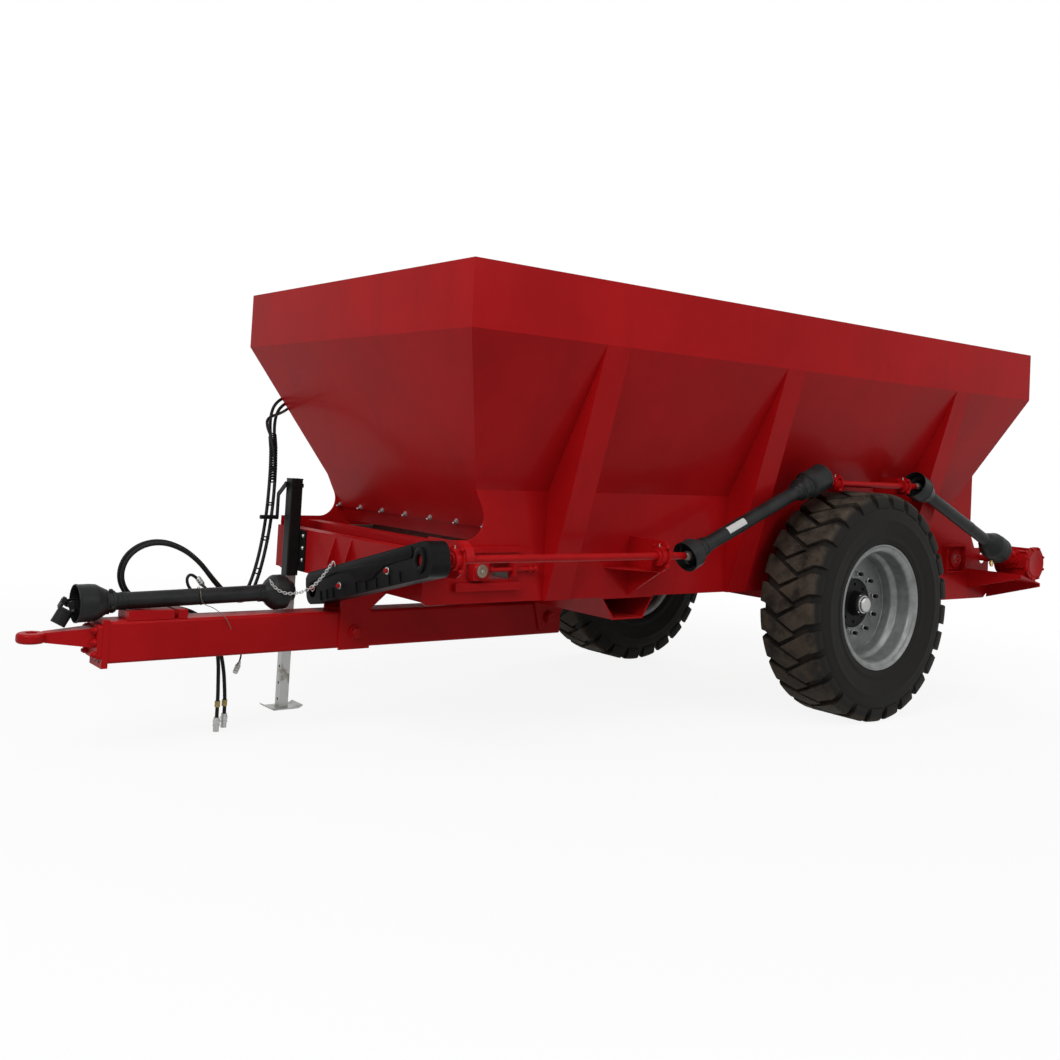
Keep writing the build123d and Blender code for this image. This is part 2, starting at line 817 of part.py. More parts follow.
def bell_end(tube, bell, straight, cone, bore):
    """Outline and cavity of a guard's bell, radius and distance from its mouth, with a bearing ring."""
    outline = (
        (bell, 0),
        (bell, straight),
        (tube + 6, straight + cone),
        (tube, straight + cone + 20),
    )
    cavity = (
        (bell - bell_wall, 0),
        (bell - bell_wall, straight),
        (tube - bell_wall, straight + cone),
        (bore, straight + cone),
        (bore, straight + cone + 20),
        (tube - bell_wall, straight + cone + 20),
    )
    return outline, cavity


def boot_end(tube, boot, bore):
    """The same for a boot, widest in its middle, with the bearing ring at its end."""
    outline = ((tube + 4, 0), (boot, 70), (boot, 82), (tube + 4, 150), (tube, 156))
    cavity = (
        (bore, 0),
        (bore, 20),
        (tube + 6, 20),
        (boot - bell_wall, 72),
        (boot - bell_wall, 80),
        (tube - bell_wall, 150),
    )
    return outline, cavity


def guard_profile(length, near, far):
    """Half section of a guard between two such ends."""
    far_outline, far_cavity = (tuple((r, length - y) for r, y in side) for side in far)
    return (*near[0], *reversed(far_outline), *far_cavity, *reversed(near[1]))


def guard_section(start, end):
    """Plane through a drive shaft: local x away from its axis, local y from start to end."""
    way = Vector(*end) - Vector(*start)
    return Plane(origin=start, x_dir=(0, 1, 0), z_dir=Vector(0, 1, 0).cross(way))


with BuildPart() as pto_guard:
    with BuildSketch(guard_section(pto_front, pto_rear)):
        Polygon(
            *guard_profile(
                pto_length,
                bell_end(tube_radius, bell_radius, 80, 60, inner_shaft_radius + fit_gap),
                boot_end(tube_radius, bell_radius + 1, inner_shaft_radius + fit_gap),
            ),
            align=None,
        )
    revolve(axis=Axis(pto_front, Vector(*pto_rear) - Vector(*pto_front)))
save(pto_guard, "pto_guard")

support_top_z = drawbar_top_z + 38
with BuildPart() as pto_support:
    for low, high in ((drawbar_front - 286, drawbar_front - 81), (drawbar_front - 347, drawbar_front - 305)):
        with BuildSketch(Plane.XY.offset(drawbar_top_z)):
            with Locations(((low + high) / 2, 0)):
                Rectangle(high - low, 2 * drawbar_half - 10)
        extrude(amount=support_top_z - drawbar_top_z)
save(pto_support, "pto_support")

# the inner shaft ends in a universal joint; the tractor's yoke droops from it onto the hitch
droop = 61
yoke_length = 96
yoke_radius = 33
yoke_bore = 17.5
yoke_bore_depth = 60
yoke_base = 24            # a yoke's hub starts this far from the joint's middle
ear_inner = 26
ear_thickness = 12
ear_radius = 17
pin_radius = 10
cap_reach = 41
joint_reach = 20
shaft_base = 50
droop_way = Vector(cos(radians(droop)), 0, -sin(radians(droop)))
pto_way = (Vector(*pto_front) - Vector(*pto_rear)).normalized()
pto_joint = Vector(*pto_front) + pto_way * joint_reach
across = Vector(0, 1, 0)
yokes = ((-pto_way, shaft_base, across), (droop_way, yoke_base, droop_way.cross(across)))
with BuildPart() as pto_shaft:
    with BuildSketch(Plane(origin=pto_joint - pto_way * shaft_base, x_dir=across, z_dir=-pto_way)):
        Circle(inner_shaft_radius)
    extrude(amount=pto_length + joint_reach - shaft_base)
    for way, base, pin in yokes:
        for side in (1, -1):
            ear_plane = Plane(origin=pto_joint + pin * side * ear_inner, x_dir=way, z_dir=pin * side)
            with BuildSketch(ear_plane):
                Circle(ear_radius)
                with Locations(((base + 6) / 2, 0)):
                    Rectangle(base + 6, 2 * ear_radius)
            extrude(amount=ear_thickness)
        with BuildSketch(Plane(origin=pto_joint - pin * cap_reach, x_dir=way, z_dir=pin)):
            Circle(pin_radius)
        extrude(amount=2 * cap_reach)
        with BuildSketch(Plane(origin=pto_joint + way * base, x_dir=pin, z_dir=way)):
            Circle(ear_inner + ear_thickness)
        extrude(amount=ear_thickness)
    with BuildSketch(Plane(origin=pto_joint + droop_way * yoke_base, x_dir=across, z_dir=droop_way)):
        Circle(yoke_radius)
    extrude(amount=yoke_length - yoke_base)
    with BuildSketch(Plane(origin=pto_joint + droop_way * yoke_length, x_dir=across, z_dir=-droop_way)):
        Circle(yoke_bore)
    extrude(amount=yoke_bore_depth, mode=Mode.SUBTRACT)
save(pto_shaft, "pto_shaft")

# --- chain case -------------------------------------------------------------------------------
case_low = (10, input_z + 14)
case_high = (drive_y, line_shaft_z)
case_radius = 78
case_angle = degrees(atan2(case_high[1] - case_low[1], case_high[0] - case_low[0]))
case_length = hypot(case_high[0] - case_low[0], case_high[1] - case_low[1])
case_mounts = ((275, input_z + 89), (640, input_z + 176))
case_middle = ((case_low[0] + case_high[0]) / 2, (case_low[1] + case_high[1]) / 2)


def case_outline(shrink):
    """Outline of the chain case, tilted along its chain, on a front view plane."""
    with Locations(Location((*case_middle, 0), (0, 0, case_angle))):
        RectangleRounded(
            case_length + 2 * case_radius - 2 * shrink,
            2 * (case_radius - shrink),
            52 - shrink,
        )


with BuildPart() as chain_case:
    with BuildSketch(front_view(case_x)):
        case_outline(0)
    extrude(amount=case_depth)
    with BuildSketch(front_view(case_x + case_wall)):
        case_outline(case_wall)
    extrude(amount=case_depth - 2 * case_wall, mode=Mode.SUBTRACT)
    with BuildSketch(front_view(beam_x)):
        for y, z in case_mounts:
            with Locations((y, z)):
                Circle(32)
    extrude(amount=case_x - beam_x)
    with BuildSketch(front_view(case_x + case_depth / 2)):
        with Locations((drive_y - 6, line_shaft_z)):
            SlotOverall(70, 34, rotation=90)
        with Locations((0, input_z)):
            Circle(inner_shaft_radius + 12)
    extrude(amount=case_depth, mode=Mode.SUBTRACT)
    with BuildSketch(front_view(case_x - 10)):
        with Locations((drive_y, line_shaft_z)):
            Circle(line_shaft_radius + running_gap)
    extrude(amount=40, mode=Mode.SUBTRACT)
save(chain_case, "chain_case")

# --- line shaft with its bearing plates -------------------------------------------------------
side_joint_radius = 26
mid_front_joint = (line_shaft_rear_plate_x - 189, drive_y, line_shaft_z)
mid_rear_joint = (upper_shaft_front_x + 220, drive_y, upper_shaft_z)
rear_front_joint = (upper_shaft_rear_x - 135, drive_y, upper_shaft_z)
joint_gap = side_joint_radius + fit_gap
line_front_x = case_x + case_depth - 22
line_rear_x = mid_front_joint[0] + joint_gap
with BuildPart() as line_shaft:
    with BuildSketch(front_view(line_rear_x)):
        with Locations((drive_y, line_shaft_z)):
            Circle(line_shaft_radius)
    extrude(amount=line_front_x - line_rear_x)
save(line_shaft, "line_shaft")

housing_radius = 48
with BuildPart() as line_brackets:
    for x, shelf in ((line_shaft_rear_plate_x, 165), (line_shaft_front_plate_x, -150)):
        with BuildSketch(front_view(x - plate)):
            with BuildLine():
                Polyline((drive_y, line_shaft_z + 78), (trough_half, line_shaft_z + 78),
                         (trough_half, line_shaft_z - 78), (drive_y, line_shaft_z - 78))
                ThreePointArc((drive_y, line_shaft_z - 78), (drive_y + 60, line_shaft_z),
                              (drive_y, line_shaft_z + 78))
            make_face()
            with Locations((drive_y, line_shaft_z)):
                Circle(line_shaft_radius + fit_gap, mode=Mode.SUBTRACT)
        extrude(amount=plate)
        with BuildSketch(front_view(x)):
            with Locations((drive_y, line_shaft_z)):
                Circle(housing_radius)
                Circle(line_shaft_radius + fit_gap, mode=Mode.SUBTRACT)
        extrude(amount=30)
        low, high = sorted((x, x + shelf))
        with BuildSketch(Plane.XY.offset(line_shaft_z - 78 - thin_plate)):
            Polygon((low, trough_half), (high, trough_half), (x, drive_y), (x - plate, drive_y),
                    align=None)
        extrude(amount=thin_plate)
    with BuildSketch(front_view(line_shaft_rear_plate_x - plate)):
        Polygon((trough_half, line_shaft_z - 78), (drive_y, line_shaft_z - 78),
                (trough_half, line_shaft_z - 225), align=None)
    extrude(amount=plate)
save(line_brackets, "line_brackets")

# --- side cardans, upper shaft and its brackets -------------------------------------------------
upper_front_end = mid_rear_joint[0] - joint_gap
upper_rear_end = rear_front_joint[0] + joint_gap
with BuildPart() as upper_shaft:
    with BuildSketch(front_view(upper_rear_end)):
        with Locations((drive_y, upper_shaft_z)):
            Circle(line_shaft_radius)
    extrude(amount=upper_front_end - upper_rear_end)
save(upper_shaft, "upper_shaft")

with BuildPart() as upper_brackets:
    for x in (upper_shaft_front_x, upper_shaft_rear_x):
        wall_low = side_wall_y(upper_shaft_z - 50)
        wall_high = side_wall_y(upper_shaft_z + 50)
        with BuildSketch(front_view(x)):
            Polygon((wall_low, upper_shaft_z - 50), (drive_y, upper_shaft_z - 50),
                    (drive_y, upper_shaft_z + 50), (wall_high, upper_shaft_z + 50), align=None)
            with Locations((drive_y, upper_shaft_z)):
                Circle(50)
                Circle(line_shaft_radius + fit_gap, mode=Mode.SUBTRACT)
        extrude(amount=plate)
        with BuildSketch(front_view(x + plate)):
            with Locations((drive_y, upper_shaft_z)):
                Circle(38)
                Circle(line_shaft_radius + fit_gap, mode=Mode.SUBTRACT)
        extrude(amount=26)
save(upper_brackets, "upper_brackets")

side_tube_radius = 38
side_shaft_radius = 18
side_bore = side_shaft_radius + fit_gap
input_reach = 239
tilt = radians(gearbox_tilt)
input_way = (cos(tilt), 0, sin(tilt))
rear_rear_joint = (
    gearbox_x + (input_reach + joint_gap) * cos(tilt),
    drive_y,
    gearbox_z + (input_reach + joint_gap) * sin(tilt),
)
# each end of a guard: reach beyond its joint, bell radius, straight length, cone length
cardans = (
    ("mid_cardan", mid_front_joint, mid_rear_joint, (23, 78, 75, 46), (90, 78, 143, 115)),
    ("rear_cardan", rear_front_joint, rear_rear_joint, (44, 80, 92, 88), (98, 88, 158, 90)),
)
for name, start, end, near, far in cardans:
    way = (Vector(*end) - Vector(*start)).normalized()
    span = (Vector(*end) - Vector(*start)).length
    guard_start = Vector(*start) - way * near[0]
    guard_end = Vector(*end) + way * far[0]
    with BuildPart() as cardan_guard:
        with BuildSketch(guard_section(guard_start, guard_end)):
            Polygon(
                *guard_profile(
                    span + near[0] + far[0],
                    bell_end(side_tube_radius, *near[1:], side_bore),
                    bell_end(side_tube_radius, *far[1:], side_bore),
                ),
                align=None,
            )
        revolve(axis=Axis(guard_start, way))
    save(cardan_guard, f"{name}_guard")
    with BuildPart() as cardan_shaft:
        with BuildSketch(along(start, end)):
            Circle(side_shaft_radius)
        extrude(amount=span)
        with Locations(Vector(*start), Vector(*end)):
            Sphere(side_joint_radius)
    save(cardan_shaft, f"{name}_shaft")

# --- rear bevel gearbox on its platform ---------------------------------------------------------
gearbox_radius = 84
cover_radius = 108
gearbox_inner_y = drive_y - 95
gearbox_outer_y = drive_y + 139
platform_tilt = radians(13.9)
platform_front_x = gearbox_x + 172
platform_rear_x = gearbox_x - 73
platform_front_z = gearbox_z - 70
platform_outer_y = gearbox_outer_y


def platform_top(x):
    """Height of the platform's upper face at x."""
    return platform_front_z - tan(platform_tilt) * (platform_front_x - x)


with BuildPart() as rear_gearbox:
    with BuildSketch(side_view(gearbox_outer_y)):
        with Locations((gearbox_x, gearbox_z)):
            Circle(gearbox_radius)
    extrude(amount=gearbox_outer_y - gearbox_inner_y)
    for high, depth, radius in ((gearbox_outer_y, 16, cover_radius), (gearbox_inner_y + 16, 16, 95)):
        with BuildSketch(side_view(high)):
            with Locations((gearbox_x, gearbox_z)):
                Circle(radius)
        extrude(amount=depth)
    with BuildSketch(side_view(gearbox_outer_y - 30)):
        Polygon(
            (gearbox_x + 78, gearbox_z),
            (gearbox_x + 66, platform_top(gearbox_x + 66)),
            (gearbox_x - 66, platform_top(gearbox_x - 66)),
            (gearbox_x - 78, gearbox_z),
            align=None,
        )
    extrude(amount=gearbox_outer_y - gearbox_inner_y - 60)
    neck = Plane(origin=(gearbox_x, drive_y, gearbox_z), x_dir=(0, 1, 0), z_dir=input_way)
    for start, reach, radius in ((0, 106, 62), (76, 12, 76), (100, input_reach - 100, 20)):
        with BuildSketch(neck.offset(start)):
            Circle(radius)
        extrude(amount=reach)
save(rear_gearbox, "rear_gearbox")

with BuildPart() as gearbox_platform:
    with BuildSketch(side_view(platform_outer_y)):
        Polygon(
            (platform_front_x, platform_top(platform_front_x)),
            (platform_rear_x, platform_top(platform_rear_x)),
            (platform_rear_x, platform_top(platform_rear_x) - plate),
            (platform_front_x, platform_top(platform_front_x) - plate),
            align=None,
        )
    extrude(amount=platform_outer_y - trough_half)
    for x, depth in ((platform_front_x - plate, 125), (platform_rear_x, 134)):
        z = platform_top(x) - 4
        with BuildSketch(front_view(x)):
            Polygon((trough_half, z), (platform_outer_y, z), (platform_outer_y, z - 20),
                    (trough_half, z - depth), align=None)
        extrude(amount=plate)
save(gearbox_platform, "gearbox_platform")

# --- cross shaft, disc gearboxes, beam and discs -------------------------------------------------
box_half = 70
cross_shaft_radius = 22
cross_shaft_spans = (
    (disc_y + box_half + fit_gap, gearbox_inner_y - fit_gap),
    (-disc_y + box_half + fit_gap, disc_y - box_half - fit_gap),
)
with BuildPart() as cross_shaft:
    for low, high in cross_shaft_spans:
        with BuildSketch(side_view(high)):
            with Locations((gearbox_x, gearbox_z)):
                Circle(cross_shaft_radius)
        extrude(amount=high - low)
save(cross_shaft, "cross_shaft")

disc_hub_height = 30
output_radius = 20
output_reach = 15
neck_radius = 52
beam_bed_z = gearbox_z - box_half
neck_bottom_z = disc_z + disc_plate + disc_hub_height + 14
with BuildPart() as disc_gearboxes:
    for y in (disc_y, -disc_y):
        with BuildSketch(Plane.XY.offset(beam_bed_z)):
            with Locations((disc_x, y)):
                RectangleRounded(2 * box_half, 2 * box_half, 22)
        extrude(amount=2 * box_half)
        with BuildSketch(Plane.XY.offset(neck_bottom_z)):
            with Locations((disc_x, y)):
                Circle(neck_radius)
        extrude(amount=beam_bed_z - neck_bottom_z)
        with BuildSketch(Plane.XY.offset(neck_bottom_z)):
            with Locations((disc_x, y)):
                Circle(output_radius + fit_gap)
        extrude(amount=beam_bed_z - neck_bottom_z + output_reach + fit_gap, mode=Mode.SUBTRACT)
save(disc_gearboxes, "disc_gearboxes")

beam_half_width = 80
beam_depth = 60
with BuildPart() as rear_beam:
    with BuildSketch(side_view(inner_half)):
        with Locations((disc_x, beam_bed_z - beam_depth / 2)):
            Rectangle(2 * beam_half_width, beam_depth)
        with Locations((disc_x, beam_bed_z - beam_depth / 2 - plate)):
            Rectangle(2 * (beam_half_width - plate), beam_depth, mode=Mode.SUBTRACT)
    extrude(amount=2 * inner_half)
    with BuildSketch(Plane.XY.offset(beam_bed_z - plate)):
        with Locations((disc_x, disc_y), (disc_x, -disc_y)):
            Circle(neck_radius + fit_gap)
    extrude(amount=plate, mode=Mode.SUBTRACT)
save(rear_beam, "rear_beam")

vane_count = 4
vane_thickness = 6
for side, sign in (("left", 1), ("right", -1)):
    with BuildPart() as disc:
        centre = (disc_x, sign * disc_y)
        with BuildSketch(Plane.XY.offset(disc_z)):
            with Locations(centre):
                Circle(disc_radius)
        extrude(amount=disc_plate)
        with BuildSketch(Plane.XY.offset(disc_z + disc_plate)):
            with Locations(centre):
                Circle(60)
        extrude(amount=disc_hub_height)
        with BuildSketch(Plane.XY.offset(disc_z + disc_plate)):
            with Locations(centre):
                Circle(output_radius)
        extrude(amount=beam_bed_z + output_reach - disc_z - disc_plate)
        with BuildSketch(Plane.XY.offset(disc_z + disc_plate)):
            with Locations(centre):
                with PolarLocations(0, vane_count, start_angle=45):
                    with Locations(((60 + vane_tip_radius) / 2 - 2, 0)):
                        Rectangle(vane_tip_radius - 60, vane_thickness)
        extrude(amount=vane_height)
    save(disc, f"disc_{side}")

# --- rear gate -----------------------------------------------------------------------------------
lean = atan2(rear_slope_run, slope_height)
gate_stroke = 250
gate_thickness = 8
gate_half = inner_half - running_gap
slope_foot = (rear_wall_x(trough_top_z), 0, trough_top_z)
slope_way = Vector(-sin(lean), 0, cos(lean))
slope_out = Vector(-cos(lean), 0, -sin(lean))


def on_slope(up, out):
    """Point in the side view, up along the rear slope and out from its face."""
    spot = Vector(*slope_foot) + slope_way * up + slope_out * out
    return spot.X, spot.Z


gate_low = -262
gate_high = 130
rod_radius = 15
rod_out = 62
lug_low = 60
lug_high = 125
rod_start = 110
barrel_low = lug_high + gate_stroke + 25
rod_end = barrel_low + 40
barrel_high = rod_end + gate_stroke + 30
with BuildPart() as gate:
    with BuildSketch(side_view(gate_half)):
        Polygon(
            on_slope(gate_low, running_gap),
            on_slope(gate_high, running_gap),
            on_slope(gate_high, running_gap + gate_thickness),
            on_slope(gate_low, running_gap + gate_thickness),
            align=None,
        )
    extrude(amount=2 * gate_half)
    with BuildSketch(side_view(20)):
        Polygon(
            on_slope(lug_low, running_gap),
            on_slope(lug_high, running_gap),
            on_slope(lug_high, rod_out + 20),
            on_slope(lug_low, rod_out + 20),
            align=None,
        )
    extrude(amount=40)
    rod_x, rod_z = on_slope(rod_start, rod_out)
    with BuildSketch(Plane(origin=(rod_x, 0, rod_z), x_dir=(0, 1, 0), z_dir=slope_way)):
        Circle(rod_radius)
    extrude(amount=rod_end - rod_start)
save(gate, "gate")

guide_depth = 10
guide_width = 26
guide_out = 2 * running_gap + gate_thickness
guide_high = 285
with BuildPart() as gate_guides:
    for outer in (inner_half, -inner_half + guide_width):
        for low, high, out in ((gate_low + 30, guide_high, guide_out), (gate_low + 30, -6, -guide_depth)):
            with BuildSketch(side_view(outer)):
                Polygon(
                    on_slope(low, out),
                    on_slope(high, out),
                    on_slope(high, out + guide_depth),
                    on_slope(low, out + guide_depth),
                    align=None,
                )
            extrude(amount=guide_width)
save(gate_guides, "gate_guides")

barrel_x, barrel_z = on_slope(barrel_low, rod_out)
barrel_plane = Plane(origin=(barrel_x, 0, barrel_z), x_dir=(0, 1, 0), z_dir=slope_way)
with BuildPart() as gate_cylinder:
    with BuildSketch(barrel_plane):
        Circle(32)
    extrude(amount=barrel_high - barrel_low)
    with BuildSketch(barrel_plane):
        Circle(rod_radius + fit_gap)
    extrude(amount=barrel_high - barrel_low - 20, mode=Mode.SUBTRACT)
    with BuildSketch(side_view(10)):
        Polygon(
            on_slope(barrel_high - 60, 0),
            on_slope(barrel_high, 0),
            on_slope(barrel_high, rod_out - 25),
            on_slope(barrel_high - 60, rod_out - 25),
            align=None,
        )
    extrude(amount=20)
save(gate_cylinder, "gate_cylinder")

# --- jack ------------------------------------------------------------------------------------------
jack_leg_top_z = jack_top_z - jack_cap - jack_stroke - 10
jack_bore = jack_inner + 2 * 0.5
jack_base_z = frame_z - 5
with BuildPart() as jack_tube:
    with BuildSketch(Plane.XY.offset(jack_base_z)):
        with Locations((jack_x, jack_y)):
            RectangleRounded(jack_size, jack_size, 6)
            Rectangle(jack_bore, jack_bore, mode=Mode.SUBTRACT)
    extrude(amount=jack_top_z - jack_base_z)
    with BuildSketch(Plane.XY.offset(jack_top_z - jack_cap)):
        with Locations((jack_x, jack_y)):
            RectangleRounded(jack_size, jack_size, 6)
    extrude(amount=jack_cap)
    with BuildSketch(front_view(beam_x)):
        with Locations((jack_y + 15, (beam_top_z + beam_bottom_z) / 2)):
            Rectangle(150, beam_top_z - beam_bottom_z - 10)
    extrude(amount=jack_x - jack_size / 2 - beam_x)
save(jack_tube, "jack_tube")

foot_half_x = 95
foot_flat = 68
foot_rise = 12
foot_half_y = 60
foot_thickness = 6
with BuildPart() as jack_leg:
    with BuildSketch(Plane.XY.offset(foot_thickness)):
        with Locations((jack_x, jack_y)):
            Rectangle(jack_inner, jack_inner)
            Rectangle(jack_inner - 2 * jack_wall, jack_inner - 2 * jack_wall, mode=Mode.SUBTRACT)
    extrude(amount=jack_leg_top_z - foot_thickness)
    with BuildSketch(side_view(jack_y + foot_half_y)):
        Polygon(
            (jack_x - foot_flat, 0),
            (jack_x + foot_flat, 0),
            (jack_x + foot_half_x, foot_rise),
            (jack_x + foot_half_x - 2, foot_rise + foot_thickness),
            (jack_x + foot_flat - 2, foot_thickness),
            (jack_x - foot_flat + 2, foot_thickness),
            (jack_x - foot_half_x + 2, foot_rise + foot_thickness),
            (jack_x - foot_half_x, foot_rise),
            align=None,
        )
    extrude(amount=2 * foot_half_y)
save(jack_leg, "jack_leg")

crank_z = jack_top_z - 26
crank_drop = 182
crank_swing = -84
crank_knee = 60
crank_face = jack_x + jack_size / 2
crank_arm_x = crank_face + 12
grip_length = 92
with BuildPart() as jack_crank:
    with BuildSketch(front_view(crank_face)):
        with Locations((jack_y, crank_z)):
            Circle(10)
    extrude(amount=24)
    corners = (
        (jack_y, crank_z),
        (jack_y + crank_swing, crank_z - crank_knee),
        (jack_y + crank_swing, crank_z - crank_drop),
    )
    for (y, z), (next_y, next_z) in zip(corners, corners[1:]):
        arm_angle = degrees(atan2(next_z - z, next_y - y))
        middle = ((y + next_y) / 2, (z + next_z) / 2, 0)
        with BuildSketch(front_view(crank_arm_x)):
            with Locations(Location(middle, (0, 0, arm_angle))):
                SlotCenterToCenter(hypot(next_y - y, next_z - z), 24)
        extrude(amount=8)
    with BuildSketch(front_view(crank_arm_x + 8)):
        with Locations((jack_y + crank_swing, crank_z - crank_drop)):
            Circle(11)
    extrude(amount=grip_length)
save(jack_crank, "jack_crank")

# --- hydraulic hoses --------------------------------------------------------------------------------
hose_radius = 9
coupler_top = 76
cords = {
    "hose_a": [
        (2580, -957, 1626), (2672, -957, 1626), (2768, -925, 1572), (2834, -830, 1474),
        (2880, -695, 1335), (2893, -652, 1228), (2908, -622, 1116), (2928, -592, 1002),
        (2955, -562, 888), (2992, -525, 775), (3045, -468, 675), (3115, -388, 606),
        (3196, -292, 590), (3284, -195, 608), (3372, -122, 652), (3450, -90, 722),
        (3518, -80, 802), (3600, -77, 866), (3700, -76, 903), (3792, -78, 893),
        (3860, -82, 842), (3884, -88, 765), (3860, -95, 692), (3795, -101, 640),
        (3700, -107, 616), (3602, -113, 602), (3508, -119, 570), (3435, -123, 506),
        (3396, -125, 420), (3380, -126, 325), (3377, -124, 240), (3375, -120, 165),
        (3375, -120, coupler_top),
    ],
    "hose_b": [
        (2580, -984, 1655), (2676, -984, 1655), (2782, -950, 1600), (2856, -842, 1495),
        (2896, -716, 1362), (2914, -672, 1246), (2929, -643, 1126), (2948, -614, 1008),
        (2975, -582, 893), (3012, -543, 782), (3062, -488, 690), (3126, -410, 628),
        (3200, -315, 612), (3284, -220, 626), (3368, -150, 667), (3444, -118, 736),
        (3513, -106, 812), (3598, -102, 876), (3701, -101, 912), (3796, -103, 900),
        (3867, -107, 846), (3891, -113, 764), (3865, -120, 687), (3798, -126, 633),
        (3701, -131, 608), (3600, -136, 593), (3501, -141, 560), (3420, -145, 496),
        (3372, -147, 405), (3343, -149, 300), (3331, -149, 200), (3326, -148, 130),
        (3326, -148, coupler_top + 8),
    ],
}


def corner_radius(before, corner, after):
    """Fillet of a hose at one of its points."""
    first = Vector(*corner) - Vector(*before)
    second = Vector(*after) - Vector(*corner)
    half = radians(first.get_angle(second)) / 2
    return 0.45 * min(first.length, second.length) / tan(half)


for name, route in cords.items():
    points = [(axle_x + x, y, z) for x, y, z in route]
    radii = [corner_radius(*points[i - 1:i + 2]) for i in range(1, len(points) - 1)]
    print(name, "corner radii", [round(r) for r in radii])
    with BuildPart() as hose:
        with BuildLine() as route_line:
            FilletPolyline(*points, radius=radii)
        path = route_line.wires()[0]
        with BuildSketch(Plane(origin=path @ 0, z_dir=path % 0)):
            Circle(hose_radius)
        sweep(path=path)
    print(name, "length", round(path.length))
    save(hose, name)

coupler_radius = 14
coupler_length = 66
with BuildPart() as hose_couplers:
    for route in cords.values():
        x, y, z = route[-1]
        with BuildSketch(Plane.XY.offset(z - coupler_length)):
            with Locations((axle_x + x, y)):
                Circle(coupler_radius)
        extrude(amount=coupler_length)
save(hose_couplers, "hose_couplers")

bulkhead_x = axle_x + cords["hose_a"][0][0]
bulkhead_low = cords["hose_a"][0][2] - 34
bulkhead_high = cords["hose_b"][0][2] + 34
with BuildPart() as hose_bulkhead:
    with BuildSketch(front_view(bulkhead_x - plate)):
        Polygon(
            (-side_wall_y(bulkhead_low), bulkhead_low),
            (-side_wall_y(bulkhead_low) - 56, bulkhead_low),
            (-side_wall_y(bulkhead_high) - 56, bulkhead_high),
            (-side_wall_y(bulkhead_high), bulkhead_high),
            align=None,
        )
    extrude(amount=plate)
save(hose_bulkhead, "hose_bulkhead")
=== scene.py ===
"""Looks of a trailed manure spreader: finishes, hoses, tyres, castings, guards and small fittings."""

import json
import math

import bpy
from mathutils import Matrix, Vector


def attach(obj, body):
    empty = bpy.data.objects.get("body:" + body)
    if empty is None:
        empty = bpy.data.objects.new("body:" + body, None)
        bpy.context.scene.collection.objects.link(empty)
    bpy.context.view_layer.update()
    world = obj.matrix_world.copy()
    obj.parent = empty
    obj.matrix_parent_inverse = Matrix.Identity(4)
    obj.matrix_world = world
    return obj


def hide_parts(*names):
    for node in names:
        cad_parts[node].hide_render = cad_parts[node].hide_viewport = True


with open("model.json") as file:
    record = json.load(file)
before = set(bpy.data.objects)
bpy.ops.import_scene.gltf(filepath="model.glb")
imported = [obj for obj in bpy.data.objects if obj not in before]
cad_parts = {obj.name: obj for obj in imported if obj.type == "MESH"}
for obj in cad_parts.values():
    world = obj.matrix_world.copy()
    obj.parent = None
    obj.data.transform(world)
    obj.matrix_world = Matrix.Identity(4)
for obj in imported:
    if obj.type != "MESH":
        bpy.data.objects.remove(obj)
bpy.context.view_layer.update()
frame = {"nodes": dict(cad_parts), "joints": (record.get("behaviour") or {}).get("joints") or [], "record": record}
nodes = frame["nodes"]
record = frame["record"]
mm = 0.001
ahead = (1, 0, 0)
left = (0, 1, 0)
above = (0, 0, 1)

# the frame's joints give the places that the looks are fitted to
turning_points = {joint["name"]: joint["pos_m"] for joint in frame["joints"] if "pos_m" in joint}
axle_x = turning_points["wheel_left_spin"][0]


def at(x, y, z):
    """Point given in millimetres, x counted forward from the axle."""
    return Vector((axle_x + x * mm, y * mm, z * mm))


def turning_point(joint):
    """A point on a joint's axis in millimetres, x counted forward from the axle."""
    x, y, z = turning_points[joint]
    return (x - axle_x) / mm, y / mm, z / mm


track_half, wheel_z = turning_point("wheel_left_spin")[1:]
disc_y = turning_point("disc_left_spin")[1]
drive_y, line_z = turning_point("line_shaft_spin")[1:]
upper_z = turning_point("upper_shaft_spin")[2]
gear_x, gear_z = turning_point("cross_shaft_spin")[::2]


# --- finishes ------------------------------------------------------------------------------


class Value:
    """A number socket that adds Math nodes when it is calculated with."""

    def __init__(self, nodes, socket):
        self.nodes = nodes
        self.socket = socket

    def _maths(self, operation, *numbers):
        return self.nodes.number("Math", {"operation": operation}, *numbers)

    def __add__(self, other):
        return self._maths("ADD", self, other)

    def __rsub__(self, other):
        return self._maths("SUBTRACT", other, self)

    def __mul__(self, other):
        return self._maths("MULTIPLY", self, other)

    def __gt__(self, other):
        return self._maths("GREATER_THAN", self, other)

    def largest(self, other):
        return self._maths("MAXIMUM", self, other)

    def smooth(self, low, high):
        """0 below low, 1 above high, smooth between."""
        settings = {"interpolation_type": "SMOOTHSTEP"}
        return self.nodes.number("MapRange", settings, self, low, high, 0.0, 1.0)

    __radd__ = __add__


